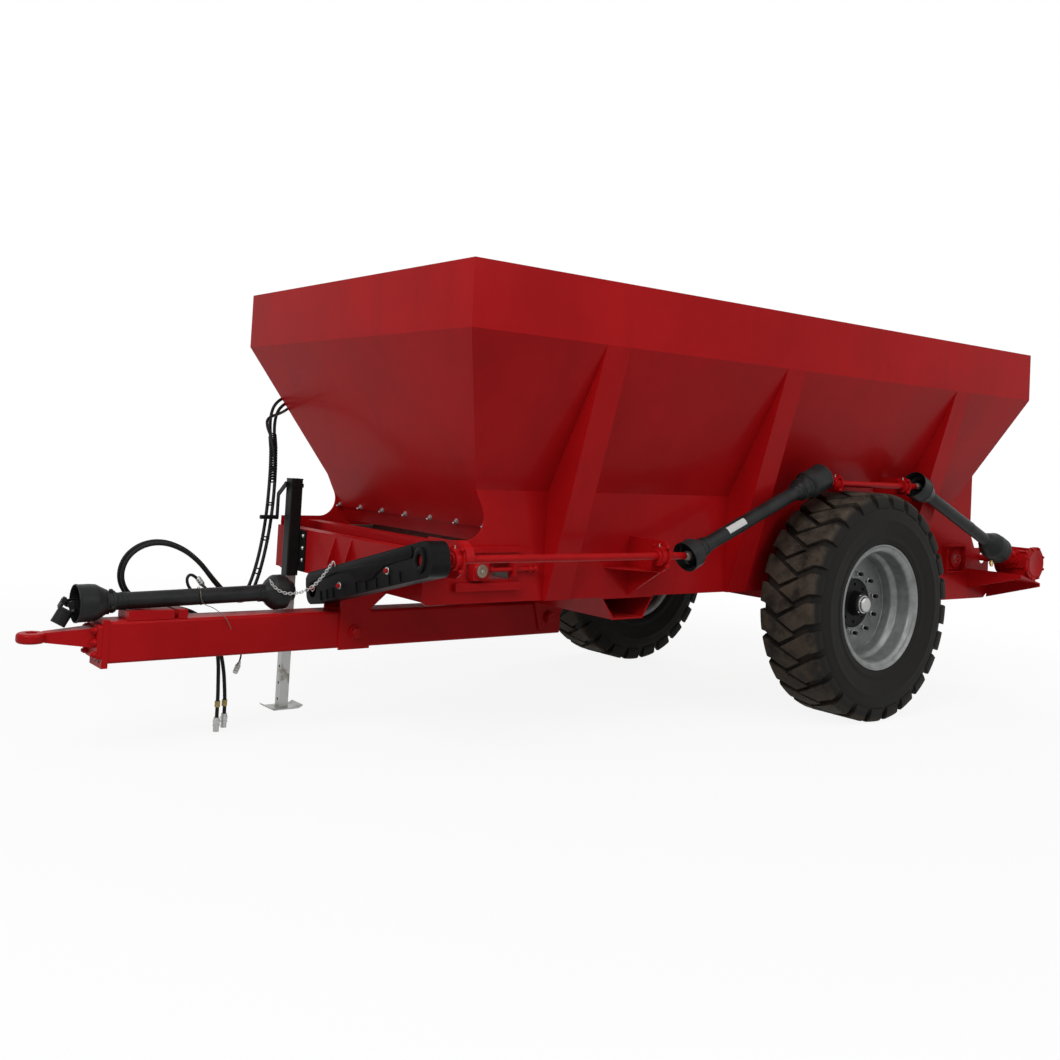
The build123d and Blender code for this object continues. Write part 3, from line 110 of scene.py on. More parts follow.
class Nodes:
    """A node tree whose nodes are made one call at a time."""

    def __init__(self, tree):
        self.tree = tree

    def node(self, kind, settings, *inputs, out=0):
        """Add a node, with its settings and the values or links of its sockets."""
        made = self.tree.nodes.new("ShaderNode" + kind)
        for key, value in settings.items():
            setattr(made, key, value)
        for socket, value in zip(made.inputs, inputs):
            self.join(socket, value)
        return made.outputs[out]

    def join(self, socket, value):
        """Set a socket, or link it where the value is another node's output."""
        if value is None:
            return
        value = getattr(value, "socket", value)
        if isinstance(value, bpy.types.NodeSocket):
            self.tree.links.new(value, socket)
        else:
            socket.default_value = value

    def number(self, kind, settings, *inputs, out=0):
        """Add a node whose output is calculated with."""
        return Value(self, self.node(kind, settings, *inputs, out=out))

    def ray(self, kind):
        """1 on rays of a kind, else 0."""
        return self.number("LightPath", {}, out="Is " + kind + " Ray")


class Finish(Nodes):
    """A material, with what its surface is made from."""

    def __init__(self, name):
        self.material = bpy.data.materials.new(name)
        self.material.use_nodes = True
        super().__init__(self.material.node_tree)
        self.shader = self.tree.nodes["Principled BSDF"]

    def place(self):
        """Object coordinates, in metres in the part's frame."""
        return self.node("TexCoord", {}, out="Object")

    def noise(self, scale, detail, stretch=None):
        """Cloudy numbers round 0.5, finer as scale grows."""
        roughness = 0.55
        where = self.place()
        if stretch:
            where = self.node("Mapping", {}, where, None, None, stretch)
        return self.number("TexNoise", {}, where, None, scale, detail, roughness)

    def mix(self, share, first, second):
        """Colour between first and second."""
        made = self.tree.nodes.new("ShaderNodeMix")
        made.data_type = "RGBA"
        factor, first_colour, second_colour, result = 0, 6, 7, 2
        self.join(made.inputs[factor], share)
        self.join(made.inputs[first_colour], first)
        self.join(made.inputs[second_colour], second)
        return made.outputs[result]

    def distance(self, where):
        """Length of a vector."""
        return self.number("VectorMath", {"operation": "LENGTH"}, where, out="Value")

    def facing_up(self):
        """How far the surface faces up, -1 to 1."""
        return self.number("SeparateXYZ", {}, self.node("NewGeometry", {}, out="Normal"), out="Z")

    def bump(self, height, strength, distance):
        """Fine relief that is shaded and not modelled."""
        normal = self.node("Bump", {}, strength, distance, None, height)
        self.join(self.shader.inputs["Normal"], normal)

    def shine(self, level):
        """Strength of the bare surface's reflection, 0.5 on plain gloss."""
        self.shader.inputs["Specular IOR Level"].default_value = level

    def set(self, **sockets):
        """Set or link the shader's sockets by name."""
        for name, value in sockets.items():
            self.join(self.shader.inputs[name.replace("_", " ").title()], value)


def colour(red, green, blue):
    return (red, green, blue, 1.0)


def red_paint():
    """Glossy red machine paint with faint flow marks, thin dust and darker runs."""
    paint = Finish("red_paint")
    cloud = paint.noise(2.3, 4.0)
    fine = paint.noise(38.0, 2.0)
    runs = paint.noise(7.0, 3.0, stretch=(1, 1, 0.12))
    base = paint.mix(cloud.smooth(0.3, 0.7), colour(0.4, 0.005, 0.007), colour(0.47, 0.007, 0.009))
    base = paint.mix(runs.smooth(0.52, 0.78) * 0.3, base, colour(0.3, 0.004, 0.005))
    dust = paint.facing_up().smooth(0.55, 1.0) * fine.smooth(0.35, 0.75) * 0.07
    base = paint.mix(dust, base, colour(0.4, 0.2, 0.16))
    paint.set(
        base_color=base,
        roughness=0.33 + cloud * 0.1 + fine * 0.06 + dust * 0.5,
        coat_weight=0.04,
        coat_roughness=0.1,
    )
    paint.shine(0.06)
    paint.bump(fine + cloud * 2.0, 0.12, 0.0006)
    return paint.material


def black_plastic(name, dark, light, shine):
    """Moulded black guard plastic, satin, with a dusty bloom on top."""
    plastic = Finish(name)
    grain = plastic.noise(420.0, 2.0)
    cloud = plastic.noise(14.0, 4.0)
    dust = plastic.facing_up().smooth(0.2, 1.0) * cloud.smooth(0.35, 0.75) * 0.3
    base = plastic.mix(cloud.smooth(0.3, 0.7), dark, light)
    base = plastic.mix(dust * 0.12, base, colour(0.08, 0.08, 0.07))
    plastic.set(base_color=base, roughness=0.36 + cloud * 0.12 + dust * 0.4)
    plastic.shine(shine)
    plastic.bump(grain + cloud * 3.0, 0.15, 0.0004)
    return plastic.material


def black_paint_and_hole_shade():
    """Black enamel on the jack and the hubs, and also the painted shade of the drawn holes in the end plate and
    the parking leg.
    """
    paint = Finish("black_paint_and_hole_shade")
    cloud = paint.noise(22.0, 4.0)
    chips = (paint.noise(90.0, 5.0) > 0.72) * cloud.smooth(0.5, 0.7)
    base = paint.mix(cloud, colour(0.006, 0.006, 0.0065), colour(0.014, 0.014, 0.014))
    base = paint.mix(chips * 0.7, base, colour(0.12, 0.1, 0.085))
    paint.set(base_color=base, roughness=0.34 + cloud * 0.16)
    paint.shine(0.12)
    paint.bump(cloud, 0.1, 0.0006)
    return paint.material


def silver_paint():
    """Grey-silver wheel enamel, a little grimy in the dish."""
    paint = Finish("silver_paint")
    cloud = paint.noise(16.0, 4.0)
    fine = paint.noise(120.0, 2.0)
    base = paint.mix(cloud.smooth(0.3, 0.75), colour(0.25, 0.26, 0.26), colour(0.17, 0.175, 0.168))
    base = paint.mix((fine > 0.68) * 0.25, base, colour(0.1, 0.085, 0.065))
    paint.set(base_color=base, roughness=0.34 + cloud * 0.16, metallic=0.35)
    paint.bump(fine + cloud, 0.1, 0.0005)
    return paint.material


def worn_rubber():
    """Tyre rubber: near black sides, tread faces scuffed brown."""
    rubber = Finish("worn_rubber")
    centre = (axle_x, 0, wheel_z * mm)
    from_centre = rubber.node("VectorMath", {"operation": "SUBTRACT"}, rubber.place(), centre)
    across_axle = rubber.node("VectorMath", {"operation": "MULTIPLY"}, from_centre, (1, 0, 1))
    cloud = rubber.noise(11.0, 5.0)
    grit = rubber.noise(160.0, 3.0)
    tread = rubber.distance(across_axle).smooth(0.6, 0.632)
    earth = tread * cloud.smooth(0.3, 0.65) * 0.85
    base = rubber.mix(cloud, colour(0.0105, 0.01, 0.0092), colour(0.018, 0.017, 0.0155))
    base = rubber.mix(earth, base, colour(0.082, 0.064, 0.047))
    base = rubber.mix(tread * (grit > 0.6) * 0.4, base, colour(0.12, 0.095, 0.07))
    rubber.set(base_color=base, roughness=0.62 + cloud * 0.2 + earth * 0.12)
    rubber.shine(0.12)
    rubber.bump(grit + cloud * 2.0, 0.35, 0.0012)
    return rubber.material


def hose_rubber():
    """Smooth hydraulic hose."""
    rubber = Finish("hose_rubber")
    cloud = rubber.noise(30.0, 3.0)
    base = rubber.mix(cloud, colour(0.006, 0.006, 0.006), colour(0.016, 0.0155, 0.015))
    rubber.set(base_color=base, roughness=0.38 + cloud * 0.2)
    rubber.shine(0.12)
    rubber.bump(rubber.noise(600.0, 1.0), 0.15, 0.0003)
    return rubber.material


def bare_steel(name, dark, light, stained, rough):
    """Machined or plated steel with stains."""
    steel = Finish(name)
    cloud = steel.noise(19.0, 5.0)
    fine = steel.noise(260.0, 2.0)
    stain = cloud.smooth(0.5, 0.72)
    base = steel.mix(fine, dark, light)
    base = steel.mix(stain * 0.7, base, stained)
    steel.set(base_color=base, roughness=rough + stain * 0.25 + fine * 0.08, metallic=0.85 - stain * 0.5)
    steel.bump(fine, 0.1, 0.0004)
    return steel.material


def plain(name, shade, rough, metal=0.0):
    """Small parts: one colour broken up by fine cloud."""
    small = Finish(name)
    cloud = small.noise(60.0, 4.0)
    darker = tuple(0.72 * part for part in shade[:3]) + (1.0,)
    small.set(base_color=small.mix(cloud, darker, shade), roughness=rough + cloud * 0.12, metallic=metal)
    small.bump(cloud, 0.1, 0.0005)
    return small.material


finishes = {
    "paint": red_paint(),
    "guard": black_plastic("guard_plastic", colour(0.011, 0.012, 0.012), colour(0.021, 0.022, 0.022), 0.14),
    "case": black_plastic("case_plastic", colour(0.005, 0.005, 0.005), colour(0.008, 0.008, 0.008), 0.06),
    # black enamel, also used as painted shade in the drawn holes
    "black": black_paint_and_hole_shade(),
    "rim": silver_paint(),
    "tyre": worn_rubber(),
    "hose": hose_rubber(),
    "shaft": bare_steel(
        "shaft_steel", colour(0.42, 0.41, 0.4), colour(0.56, 0.55, 0.53), colour(0.2, 0.13, 0.08), 0.3
    ),
    "zinc": bare_steel(
        "zinc_plate", colour(0.34, 0.35, 0.34), colour(0.46, 0.47, 0.45), colour(0.28, 0.26, 0.2), 0.38
    ),
    "worn": bare_steel(
        "worn_steel", colour(0.16, 0.12, 0.085), colour(0.25, 0.2, 0.145), colour(0.12, 0.07, 0.04), 0.4
    ),
    "chain": bare_steel(
        "chain_steel", colour(0.1, 0.09, 0.08), colour(0.17, 0.15, 0.13), colour(0.12, 0.07, 0.045), 0.5
    ),
    "brass": plain("brass_fitting", colour(0.55, 0.4, 0.16), 0.32, 0.9),
    "bright": plain("bright_bolt", colour(0.5, 0.5, 0.49), 0.3, 0.9),
    "label": plain("blank_label", colour(0.72, 0.73, 0.72), 0.4),
    "tie": plain("tie_plastic", colour(0.55, 0.42, 0.12), 0.45),
}
finishes["hub"] = finishes["black"]

# the frame's own pieces: each takes its slot's finish, but for three
other_finish = {"chain_case": "case", "mid_cardan_shaft": "chain", "rear_cardan_shaft": "chain"}
for entry in record["subparts"]:
    mesh = nodes[entry["node"]].data
    mesh.materials.clear()
    mesh.materials.append(finishes[other_finish.get(entry["node"], entry["material_slot"])])


# --- camera and light ------------------------------------------------------------------------

camera_place = at(5615, 4958, 1409)
look_turn = math.radians(233.32)
look_rise = math.radians(2.226)
look_roll = math.radians(3.117)
sensor_width, focal_length = 36.0, 38.571    # both in millimetres
picture_shift = (0.0317, -0.11811)           # right and up, in widths of the picture

look = Vector((
    math.cos(look_rise) * math.cos(look_turn),
    math.cos(look_rise) * math.sin(look_turn),
    math.sin(look_rise),
))
level_right = look.cross(Vector(above)).normalized()
level_up = level_right.cross(look)
right = math.cos(look_roll) * level_right + math.sin(look_roll) * level_up
up = math.cos(look_roll) * level_up - math.sin(look_roll) * level_right

lens = bpy.data.cameras.new("camera")
lens.sensor_width = sensor_width
lens.lens = focal_length
lens.shift_x, lens.shift_y = picture_shift
lens.clip_end = 200
camera = bpy.data.objects.new("camera", lens)
bpy.context.scene.collection.objects.link(camera)
camera.matrix_world = Matrix.Translation(camera_place) @ Matrix((right, up, -look)).transposed().to_4x4()
bpy.context.scene.camera = camera


def soft_light(name, place, aim, size, power):
    """Large square lamp at a place, turned to a point."""
    lamp = bpy.data.lights.new(name, "AREA")
    lamp.size = size
    lamp.energy = power
    holder = bpy.data.objects.new(name, lamp)
    bpy.context.scene.collection.objects.link(holder)
    holder.location = place
    holder.rotation_euler = (Vector(aim) - Vector(place)).to_track_quat("-Z", "Y").to_euler()


soft_light("sky_lamp", (1.5, 3.0, 8.5), (0, 0, 1.0), 9.0, 170)
soft_light("front_lamp", (8.5, 4.0, 7.8), (0, 0, 1.0), 5.0, 530)
soft_light("side_lamp", (-2.0, 8.5, 6.0), (-0.5, 0, 0.9), 5.0, 188)
soft_light("back_lamp", (-8.0, -5.5, 5.5), (-1.0, 0, 0.9), 5.0, 300)

# a dim pale sky lights the object, and the backdrop that shows is white
world = bpy.data.worlds.new("studio")
world.use_nodes = True
bpy.context.scene.world = world
sky = Nodes(world.node_tree)
light = sky.node("Background", {}, colour(0.9, 0.94, 1.0), 0.17)
backdrop = sky.node("Background", {}, colour(1, 1, 1), 1.0)
seen = sky.ray("Camera").largest(sky.ray("Glossy")).largest(sky.ray("Transmission"))
surroundings = sky.node("MixShader", {}, seen, light, backdrop)
sky.tree.nodes.remove(sky.tree.nodes["Background"])
sky.join(sky.tree.nodes["World Output"].inputs["Surface"], surroundings)
bpy.context.scene.view_settings.view_transform = "Standard"


# --- modelling helpers -----------------------------------------------------------------------


def nothing_selected():
    """Object mode with nothing selected."""
    if bpy.context.object and bpy.context.object.mode != "OBJECT":
        bpy.ops.object.mode_set(mode="OBJECT")
    bpy.ops.object.select_all(action="DESELECT")


def only(piece):
    """Select one piece and make it the active one."""
    nothing_selected()
    piece.select_set(True)
    bpy.context.view_layer.objects.active = piece


def chain_of(name, points):
    """Open edit mode on a line of edges through points given in millimetres."""
    nothing_selected()
    bpy.ops.mesh.primitive_plane_add(size=0.01, location=(0, 0, 0))
    piece = bpy.context.object
    piece.name = name
    bpy.ops.object.mode_set(mode="EDIT")
    bpy.ops.mesh.select_all(action="SELECT")
    bpy.ops.mesh.merge(type="CENTER")
    bpy.ops.transform.translate(value=Vector(points[0]) * mm)
    for start, end in zip(points, points[1:]):
        step = (Vector(end) - Vector(start)) * mm
        bpy.ops.mesh.extrude_region_move(TRANSFORM_OT_translate={"value": step})
    bpy.ops.mesh.select_all(action="SELECT")
    return piece


def close_editing():
    """Turn all faces outwards and leave edit mode."""
    bpy.ops.mesh.select_all(action="SELECT")
    bpy.ops.mesh.normals_make_consistent(inside=False)
    bpy.ops.object.mode_set(mode="OBJECT")


def turned(name, outline, steps=48):
    """Outline of (radius, height) spun about local Z into a closed or open shell."""
    piece = chain_of(name, [(radius, 0, height) for radius, height in outline])
    bpy.ops.mesh.spin(steps=steps, angle=math.tau, center=(0, 0, 0), axis=(0, 0, 1))
    bpy.ops.mesh.select_all(action="SELECT")
    bpy.ops.mesh.remove_doubles(threshold=1e-5)
    close_editing()
    return piece


def slab(name, outline, depth):
    """Outline of (x, y) filled and pulled up along local Z."""
    piece = chain_of(name, [(x, y, 0) for x, y in outline])
    bpy.ops.mesh.edge_face_add()
    bpy.ops.mesh.extrude_region_move(TRANSFORM_OT_translate={"value": (0, 0, depth * mm)})
    close_editing()
    return piece


def torus(name, ring, bar, steps, sides):
    """Ring of round bar lying flat on local Z = 0."""
    nothing_selected()
    bpy.ops.mesh.primitive_torus_add(
        major_radius=ring * mm, minor_radius=bar * mm, major_segments=steps, minor_segments=sides
    )
    piece = bpy.context.object
    piece.name = name
    bpy.ops.object.mode_set(mode="EDIT")
    close_editing()
    return smooth(piece, 80)


def bar_through(name, points, radius, roundness):
    """Round bar bent through points in millimetres, as a live curve."""
    line = bpy.data.curves.new(name, "CURVE")
    line.dimensions = "3D"
    line.bevel_depth = radius * mm
    line.bevel_resolution = roundness
    line.use_fill_caps = True
    spline = line.splines.new("NURBS")
    spline.points.add(len(points) - 1)
    for point, place in zip(spline.points, points):
        point.co = (*at(*place), 1.0)
    spline.order_u = 3
    spline.use_endpoint_u = True
    piece = bpy.data.objects.new(name, line)
    bpy.context.scene.collection.objects.link(piece)
    return piece


def modified(piece, kind, **settings):
    """Add a modifier, set it and apply it."""
    only(piece)
    added = piece.modifiers.new(kind.lower(), kind)
    for key, value in settings.items():
        setattr(added, key, value)
    bpy.ops.object.modifier_apply(modifier=added.name)
    return piece


def eased(piece, width, segments=2, angle=30):
    """Round the edges sharper than the angle."""
    settings = {"width": width * mm, "segments": segments, "limit_method": "ANGLE"}
    return modified(piece, "BEVEL", angle_limit=math.radians(angle), use_clamp_overlap=True, **settings)


def smooth(piece, angle=40):
    """Shade smooth where faces meet under the angle."""
    only(piece)
    bpy.ops.object.shade_smooth_by_angle(angle=math.radians(angle))
    return piece


def frame_at(place, up_way, x_way=(1, 0, 0)):
    """Seat at a place in millimetres: a matrix with Z along up_way and X close to x_way."""
    z = Vector(up_way).normalized()
    x = Vector(x_way)
    x = (x - x.dot(z) * z).normalized()
    return Matrix.Translation(at(*place)) @ Matrix((x, z.cross(x), z)).transposed().to_4x4()


def placed(piece, matrix):
    """Move a shape to its place, and leave that place in its mesh."""
    only(piece)
    piece.matrix_world = matrix
    bpy.ops.object.transform_apply(location=True, rotation=True, scale=True)
    return piece


def twin_of(piece):
    """A copy with a mesh of its own."""
    twin = piece.copy()
    twin.data = piece.data.copy()
    bpy.context.scene.collection.objects.link(twin)
    return twin


def joined(shapes):
    """Join shapes into the first, with its place in its mesh."""
    nothing_selected()
    for shape in shapes:
        shape.select_set(True)
    bpy.context.view_layer.objects.active = shapes[0]
    if len(shapes) > 1:
        bpy.ops.object.join()
    bpy.ops.object.transform_apply(location=True, rotation=True, scale=True)
    return shapes[0]


def repeated(piece, seats):
    """Copies of one model at several seats, joined; the model itself is used up."""
    made = []
    for seat in seats:
        twin = twin_of(piece)
        twin.matrix_world = seat
        made.append(twin)
    bpy.data.objects.remove(piece)
    return joined(made)


def seats_at(places, up_way, x_way=(1, 0, 0)):
    """Seats at several places, all turned the same way."""
    return [frame_at(place, up_way, x_way) for place in places]


def ring_of(seat, count, radius, height=0, first=0, square=False):
    """Seats evenly spaced about a seat's Z, from a first angle; square ones keep the seat's own X."""
    seats = []
    for number in range(count):
        turn = Matrix.Rotation(math.radians(first) + number * math.tau / count, 4, "Z")
        there = seat @ turn @ Matrix.Translation((radius * mm, 0, height * mm))
        seats.append(there @ turn.inverted() if square else there)
    return seats


def along_route(points, first, last, step):
    """Places and directions at even steps along a route of points."""
    points = [Vector(point) for point in points]
    run = 0.0
    wanted = first
    spots = []
    for start, end in zip(points, points[1:]):
        length = (end - start).length
        while run <= wanted < run + length and wanted <= last:
            spots.append((start.lerp(end, (wanted - run) / length), end - start))
            wanted += step
        run += length
    return spots


def dressed(piece, body, finish, *stands_for):
    """Give a finished shape its finish and the body it rides on."""
    piece.data.materials.clear()
    piece.data.materials.append(finishes[finish])
    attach(piece, body)
    if stands_for:
        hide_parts(*stands_for)


def rows(name, body, finish, model, seats):
    """One small model at all its seats, as a single piece."""
    made = repeated(model, seats)
    made.name = name
    dressed(made, body, finish)


def wire(name, points, radius, finish):
    """Round bar or wire on the chassis, bent through points."""
    only(bar_through(name, points, radius, 3))
    bpy.ops.object.convert(target="MESH")
    dressed(bpy.context.object, "chassis", finish)


def arc(radius, last, step):
    """Points round the middle, from angle 0 to a last angle in degrees."""
    turns = [math.radians(angle) for angle in range(0, last + 1, step)]
    return [(radius * math.cos(turn), radius * math.sin(turn)) for turn in turns]


def hex_head(name, across, tall, washer=0, stud=0):
    """Hexagon head standing on local Z = 0, on a washer, with a stud end if it is a nut."""
    base = 3 if washer else 0
    corners = arc(across / math.sqrt(3), 300, 60)
    head = slab(name, corners, tall)
    placed(head, Matrix.Translation((0, 0, base * mm)))
    eased(head, across * 0.06, 1, 30)
    made = [head]
    if washer:
        edge = washer + 0.6
        made.append(turned("washer", ((0, base), (washer, base), (edge, base - 0.6), (edge, 0)), 18))
    if stud:
        top = base + tall + stud
        foot = base + tall - 1
        tip, thread = across * 0.26, across * 0.32
        made.append(turned("stud", ((0, top), (tip, top), (thread, top - 2), (thread, foot)), 14))
    return joined(made)


# --- floor -----------------------------------------------------------------------------------

# shares of plain white in the floor as the camera sees it: under the machine, and far from it
white_near, white_far = 0.89, 1.0
dim_within, plain_beyond = 2.2, 6.5     # metres from the middle

nothing_selected()
bpy.ops.mesh.primitive_plane_add(size=80, location=(0, 0, 0))
floor = bpy.context.object
floor.name = "floor"
ground = Finish("floor_white")
looked_at = ground.ray("Camera").largest(ground.ray("Glossy"))
shade = ground.mix(looked_at, colour(0.5, 0.5, 0.5), colour(0.95, 0.95, 0.95))
ground.set(base_color=shade, roughness=0.9)
away = ground.distance(ground.place()).smooth(dim_within, plain_beyond)
share = looked_at * (white_near + away * (white_far - white_near))
white = ground.node("Emission", {}, colour(1, 1, 1), 1.0)
surface = ground.node("MixShader", {}, share, ground.shader.outputs[0], white)
ground.join(ground.tree.nodes["Material Output"].inputs["Surface"], surface)
floor.data.materials.append(ground.material)


# --- hoses -----------------------------------------------------------------------------------

hose_routes = {
    "hose_a": [
        (2580, -957, 1626), (2672, -957, 1626), (2768, -925, 1572), (2834, -830, 1474),
        (2880, -695, 1335), (2893, -652, 1228), (2908, -622, 1116), (2928, -592, 1002),
        (2955, -562, 888), (2992, -525, 775), (3045, -468, 675), (3115, -388, 606),
        (3196, -292, 590), (3284, -195, 608), (3372, -122, 652), (3450, -90, 722),
        (3518, -80, 802), (3600, -77, 866), (3700, -76, 903), (3792, -78, 893),
        (3860, -82, 842), (3884, -88, 765), (3860, -95, 692), (3795, -101, 640),
        (3700, -107, 616), (3602, -113, 602), (3508, -119, 570), (3435, -123, 506),
        (3396, -125, 420), (3380, -126, 325), (3377, -124, 240), (3375, -120, 165),
        (3375, -120, 76),
    ],
    "hose_b": [
        (2580, -984, 1655), (2676, -984, 1655), (2782, -950, 1600), (2856, -842, 1495),
        (2896, -716, 1362), (2914, -672, 1246), (2929, -643, 1126), (2948, -614, 1008),
        (2975, -582, 893), (3012, -543, 782), (3062, -488, 690), (3126, -410, 628),
        (3200, -315, 612), (3284, -220, 626), (3368, -150, 667), (3444, -118, 736),
        (3513, -106, 812), (3598, -102, 876), (3701, -101, 912), (3796, -103, 900),
        (3867, -107, 846), (3891, -113, 764), (3865, -120, 687), (3798, -126, 633),
        (3701, -131, 608), (3600, -136, 593), (3501, -141, 560), (3420, -145, 496),
        (3372, -147, 405), (3343, -149, 300), (3331, -149, 200), (3326, -148, 130),
        (3326, -148, 84),
    ],
}
hose_radius = 9


def hose(name, node):
    """Smooth hose along its route."""
    route = hose_routes[node]
    piece = bar_through(name, route, hose_radius, 5)
    piece.data.resolution_u = 8
    dressed(piece, "chassis", "hose", node)
    tuple(at(*route[0]))


hose("supply_hose", "hose_a")
hose("return_hose", "hose_b")


# --- wheels ----------------------------------------------------------------------------------

lug_pitches = 25
lug_depth = 78           # from the tread's face down into the casing

# half section of the casing, as radius and distance from the tyre's middle
casing_half = (
    (611, 0), (611, 132), (608, 146), (598, 160), (582, 172), (556, 184), (524, 190),
    (497, 190.5), (494, 191.9), (488, 191.9), (485, 190.5), (450, 187), (420, 180),
    (396, 173), (391, 175.5), (383, 175.5), (378, 172), (364, 171), (356, 167), (352.5, 160),
)

# outline of one tread bar, as place along the tread and distance from the tyre's middle
tread_bar = ((0, 52), (-51, 138), (-57, 187), (-169, 187), (-163, 138), (-54, -48))

# cuts that round a bar's end, as point (distance, depth) and the way the cut faces
bar_cuts = (((150, 0), (0.28, 0.96)), ((166, 6), (0.72, 0.69)), ((179, 24), (0.97, 0.24)))


def tread_model():
    """One tread bar at the foot of the tyre, bent round it, with the axle along local Z."""
    bar = slab("tread_bar", tread_bar, lug_depth)
    # stand it up, with the tyre's width along Z and depth along Y
    placed(bar, Matrix(((1, 0, 0, 0), (0, 0, 1, 0), (0, 1, 0, 0), (0, 0, 0, 1))))
    bpy.ops.object.mode_set(mode="EDIT")
    for (across, depth), (face_z, face_y) in bar_cuts:
        bpy.ops.mesh.select_all(action="SELECT")
        bpy.ops.mesh.bisect(
            plane_co=(0, depth * mm, across * mm),
            plane_no=(0, -face_y, face_z),
            use_fill=True,
            clear_outer=True,
        )
    # slices let the bar bend
    for slice_x in range(-150, 0, 25):
        bpy.ops.mesh.select_all(action="SELECT")
        bpy.ops.mesh.bisect(plane_co=(slice_x * mm, 0, 0), plane_no=(1, 0, 0))
    close_editing()
    eased(bar, 4.5, 2, 14)
    tread_radius = wheel_z * mm
    bend = bar.dimensions.x / tread_radius
    modified(bar, "SIMPLE_DEFORM", deform_method="BEND", deform_axis="Z", angle=bend)
    return placed(bar, Matrix.Translation((0, -tread_radius, 0)))


def tyre(side, sign):
    """Casing and two rows of interlocking bars."""
    near_bar = tread_model()
    far_bar = placed(twin_of(near_bar), Matrix.Diagonal((1, 1, -1, 1)))
    # mirroring can turn the faces inside out, so they are turned outwards again
    bpy.ops.object.mode_set(mode="EDIT")
    close_editing()
    middle = Matrix.Identity(4)
    near_bars = repeated(near_bar, ring_of(middle, lug_pitches, 0))
    far_bars = repeated(far_bar, ring_of(middle, lug_pitches, 0, first=180 / lug_pitches))
    outline = [(radius, -across) for radius, across in reversed(casing_half)] + list(casing_half[1:])
    casing = smooth(turned("casing", outline, 100), 50)
    whole = joined([casing, near_bars, far_bars])
    whole.name = "tread_and_casing_" + side
    placed(whole, frame_at((0, sign * track_half, wheel_z), left))
    dressed(whole, "wheel_" + side, "tyre", "tyre_" + side)


# sections of the wheel, as radius and distance outwards from the tyre's middle
rim_section = (
    (352, 159), (353, 164), (350.5, 168.5), (346, 169.5), (342, 167), (339, 161), (334, 157.5),
    (328, 157.5), (322, 155), (313, 149), (308, 141), (306, 130), (305.5, 66), (303, 60), (299, 56),
    (288, 48), (281, 40), (278, 30), (278, -92), (284, -102), (306, -112), (306, -146),
    (318, -156), (338, -158), (350, -160), (352, -166), (353, -160), (352, -156), (340, -150),
    (319, -146), (318, -108), (292, -96), (290, -80), (290, 26), (294, 38), (306, 50), (317, 60),
    (318, 146), (324, 150), (346, 152), (352, 159),
)
disc_section = ((292, -8), (284, -6.5), (280, -11), (276, -18), (140, -18), (140, -32), (290, -32))
hub_section = (
    (58, 46), (64, 44), (67, 38), (68, -2), (73, -9), (126, -12), (136, -13), (141, -17), (142, -36),
)
cap_section = ((0, 74), (30, 74), (37, 72.5), (42, 69), (45, 62), (45, 56), (50, 55), (52, 52), (52, 40))

stud_count = 10
stud_circle = 335
first_stud = 12.6        # degrees
disc_face = -18          # outwards from the tyre's middle, and the nuts stand on it


def wheel(side, sign):
    """Deep dished rim, hub, cap and ten nuts."""
    body = "wheel_" + side
    seat = frame_at((0, sign * track_half, wheel_z), (0, sign, 0), (sign, 0, 0))
    rim = smooth(turned("barrel", rim_section, 96), 38)
    disc = smooth(turned("disc", disc_section, 96), 38)
    rim = placed(joined([rim, disc]), seat)
    rim.name = "dished_rim_" + side
    dressed(rim, body, "rim", "rim_" + side)

    hub = smooth(turned("hub", hub_section, 64), 38)
    screws = repeated(hex_head("hub_screw", 15, 9), ring_of(Matrix.Identity(4), 8, 108, -12))
    hub = placed(joined([hub, screws]), seat)
    hub.name = "drum_hub_" + side
    dressed(hub, body, "hub", "hub_" + side)

    cap = placed(smooth(turned("hub_cap_" + side, cap_section, 48), 38), seat)
    dressed(cap, body, "bright")

    studs = ring_of(seat, stud_count, stud_circle / 2, disc_face, first_stud)
    dressed(repeated(hex_head("wheel_nuts_" + side, 30, 18, 19), studs), body, "bright")
    ends = turned("stud_ends_" + side, ((0, 43), (9, 43), (11, 41), (11, 20)), 14)
    dressed(repeated(ends, studs), body, "black")


both_sides = (("left", 1), ("right", -1))
for side, sign in both_sides:
    tyre(side, sign)
    wheel(side, sign)


# --- drive shaft guards ----------------------------------------------------------------------

# ends of the guards, as radius and distance in from the mouth
input_bell = (
    (74, 52), (77, 40), (78, 3), (79, 0), (82, 0), (83, 2), (83, 7), (81, 9), (81, 60), (80, 66),
    (79, 82), (76, 90), (66, 108), (58, 124), (54, 128), (54, 133), (48, 136), (47, 152),
    (50, 153), (50, 161), (47, 162), (47, 167), (40, 170), (39, 176),
)
boot = (
    (42, 0), (46, 2), (49, 8), (60, 26), (80, 44), (82, 52), (82, 96), (80, 104), (62, 128), (48, 140),
    (41, 150), (41, 176),
)
front_bell = (
    (68, 52), (74, 44), (74.5, 2), (75.5, 0), (77.5, 0), (78, 2), (78, 10), (76, 12), (76, 62), (74, 70),
    (66, 84), (56, 100), (52, 104), (52, 114), (46, 118), (45, 132), (48, 134), (48, 144), (45, 146),
    (44, 160), (40, 164),
)
stepped_bell = (
    (60, 84), (74, 66), (74.5, 2), (75.5, 0), (77.5, 0), (78, 2), (78, 10), (76, 12), (76, 126), (78, 128),
    (78, 138), (76, 140), (74, 146), (66, 152), (66, 172), (64, 174), (60, 184), (60, 196), (62, 198),
    (62, 210), (58, 212), (50, 228), (46, 232), (46, 250), (40, 256),
)
upper_bell = (
    (60, 70), (76, 54), (76.5, 2), (77.5, 0), (79.5, 0), (80, 2), (80, 12), (78, 14), (78, 84), (80, 86),
    (80, 92), (77, 94), (72, 100), (64, 128), (58, 150), (54, 158), (46, 166), (40, 172),
)
